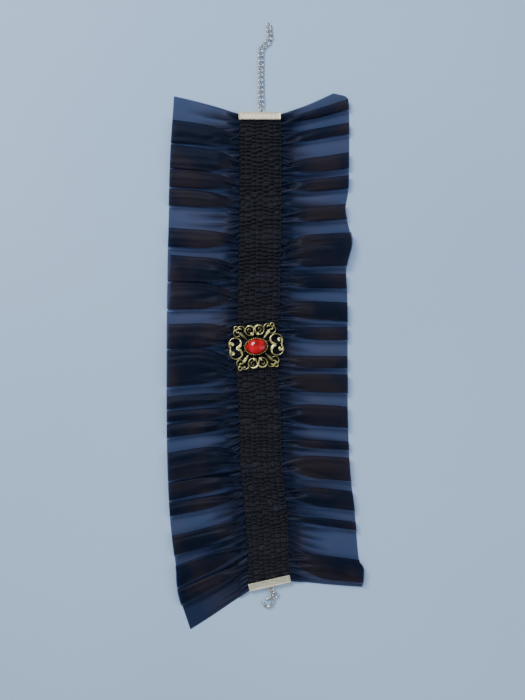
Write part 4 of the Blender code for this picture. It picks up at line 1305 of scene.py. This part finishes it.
def add_light(name, place, size, power, colour):
    """A round soft light that aims at the middle of the scene."""
    data = bpy.data.lights.new(name, "AREA")
    data.shape = "DISK"
    data.size = size
    data.energy = power
    data.color = colour
    light = bpy.data.objects.new(name, data)
    light.location = place
    light.rotation_euler = (-Vector(place)).to_track_quat("-Z", "Y").to_euler()
    bpy.context.scene.collection.objects.link(light)


def add_stage(material):
    corners = ((-1, -1), (1, -1), (1, 1), (-1, 1))
    points = [(x * FLOOR_HALF, y * FLOOR_HALF, 0.0) for x, y in corners]
    floor = mesh_piece("floor", points, [(0, 1, 2, 3)], material)
    world = bpy.data.worlds.new("studio")
    world.use_nodes = True
    background = world.node_tree.nodes["Background"]
    set_inputs(background, Color=SKY_COLOUR, Strength=SKY_STRENGTH)
    bpy.context.scene.world = world
    for light in LIGHTS:
        add_light(*light)


def add_camera():
    data = bpy.data.cameras.new("camera")
    data.sensor_fit = "VERTICAL"
    data.sensor_height = SENSOR
    data.sensor_width = SENSOR
    data.lens = SENSOR * CAMERA_HEIGHT / VIEW_HEIGHT
    camera = bpy.data.objects.new("camera", data)
    back = Vector((0.0, -math.sin(CAMERA_TILT), math.cos(CAMERA_TILT)))
    middle = Vector(VIEW_MIDDLE) * MM
    camera.location = middle + back * CAMERA_HEIGHT * MM
    camera.rotation_euler = (CAMERA_TILT, 0.0, 0.0)
    bpy.context.scene.collection.objects.link(camera)
    bpy.context.scene.camera = camera


def main():
    add_camera()
    add_stage(pale_floor())
    cloth, shirring = organza(), shirred_cloth()
    nickel = brushed_nickel()
    silver = plated("bright silver", SILVER_TONES, 0.2, 1100.0, 0.15)
    # Its lower parts are darkened: partly patina, partly painted shade in the recesses
    bronze = plated("antique bronze", BRONZE_TONES, 0.28, 700.0, 0.25, PATINA_AND_SHADE_HEIGHTS)
    # Near-black bronze for the cup: painted shade in the gap around the stone
    shaded_cup_bronze = plated("bronze painted with shade", CUP_SHADE_TONES, 0.45, 700.0, 0.25)

    left = (LEFT_FOLDS, LEFT_HEM, LEFT_ROOTS, LEFT_CREASES)
    left = add_ruffle("ruffle_left", -1, left, FLAP_LAYERS, cloth)
    right = (RIGHT_FOLDS, RIGHT_HEM, RIGHT_ROOTS, RIGHT_CREASES)
    right = add_ruffle("ruffle_right", 1, right, 0.0, cloth)
    band, grid = add_band(shirring)
    add_stitches(grid, thread())

    add_crimp("crimp_top", CRIMP_TOP, TOP_LOOP_SHIFT, nickel)
    add_crimp("crimp_bottom", CRIMP_BOTTOM, 0.0, nickel)
    for name in ("ring_top", "ring_bottom"):
        add_ring(name, silver)
    for i in range(LINK_COUNT):
        add_link(f"link_{i + 1:02d}", silver)
    add_clasp(silver)
    add_ornament(bronze, shaded_cup_bronze, red_stone())


main()

bpy.context.view_layer.update()
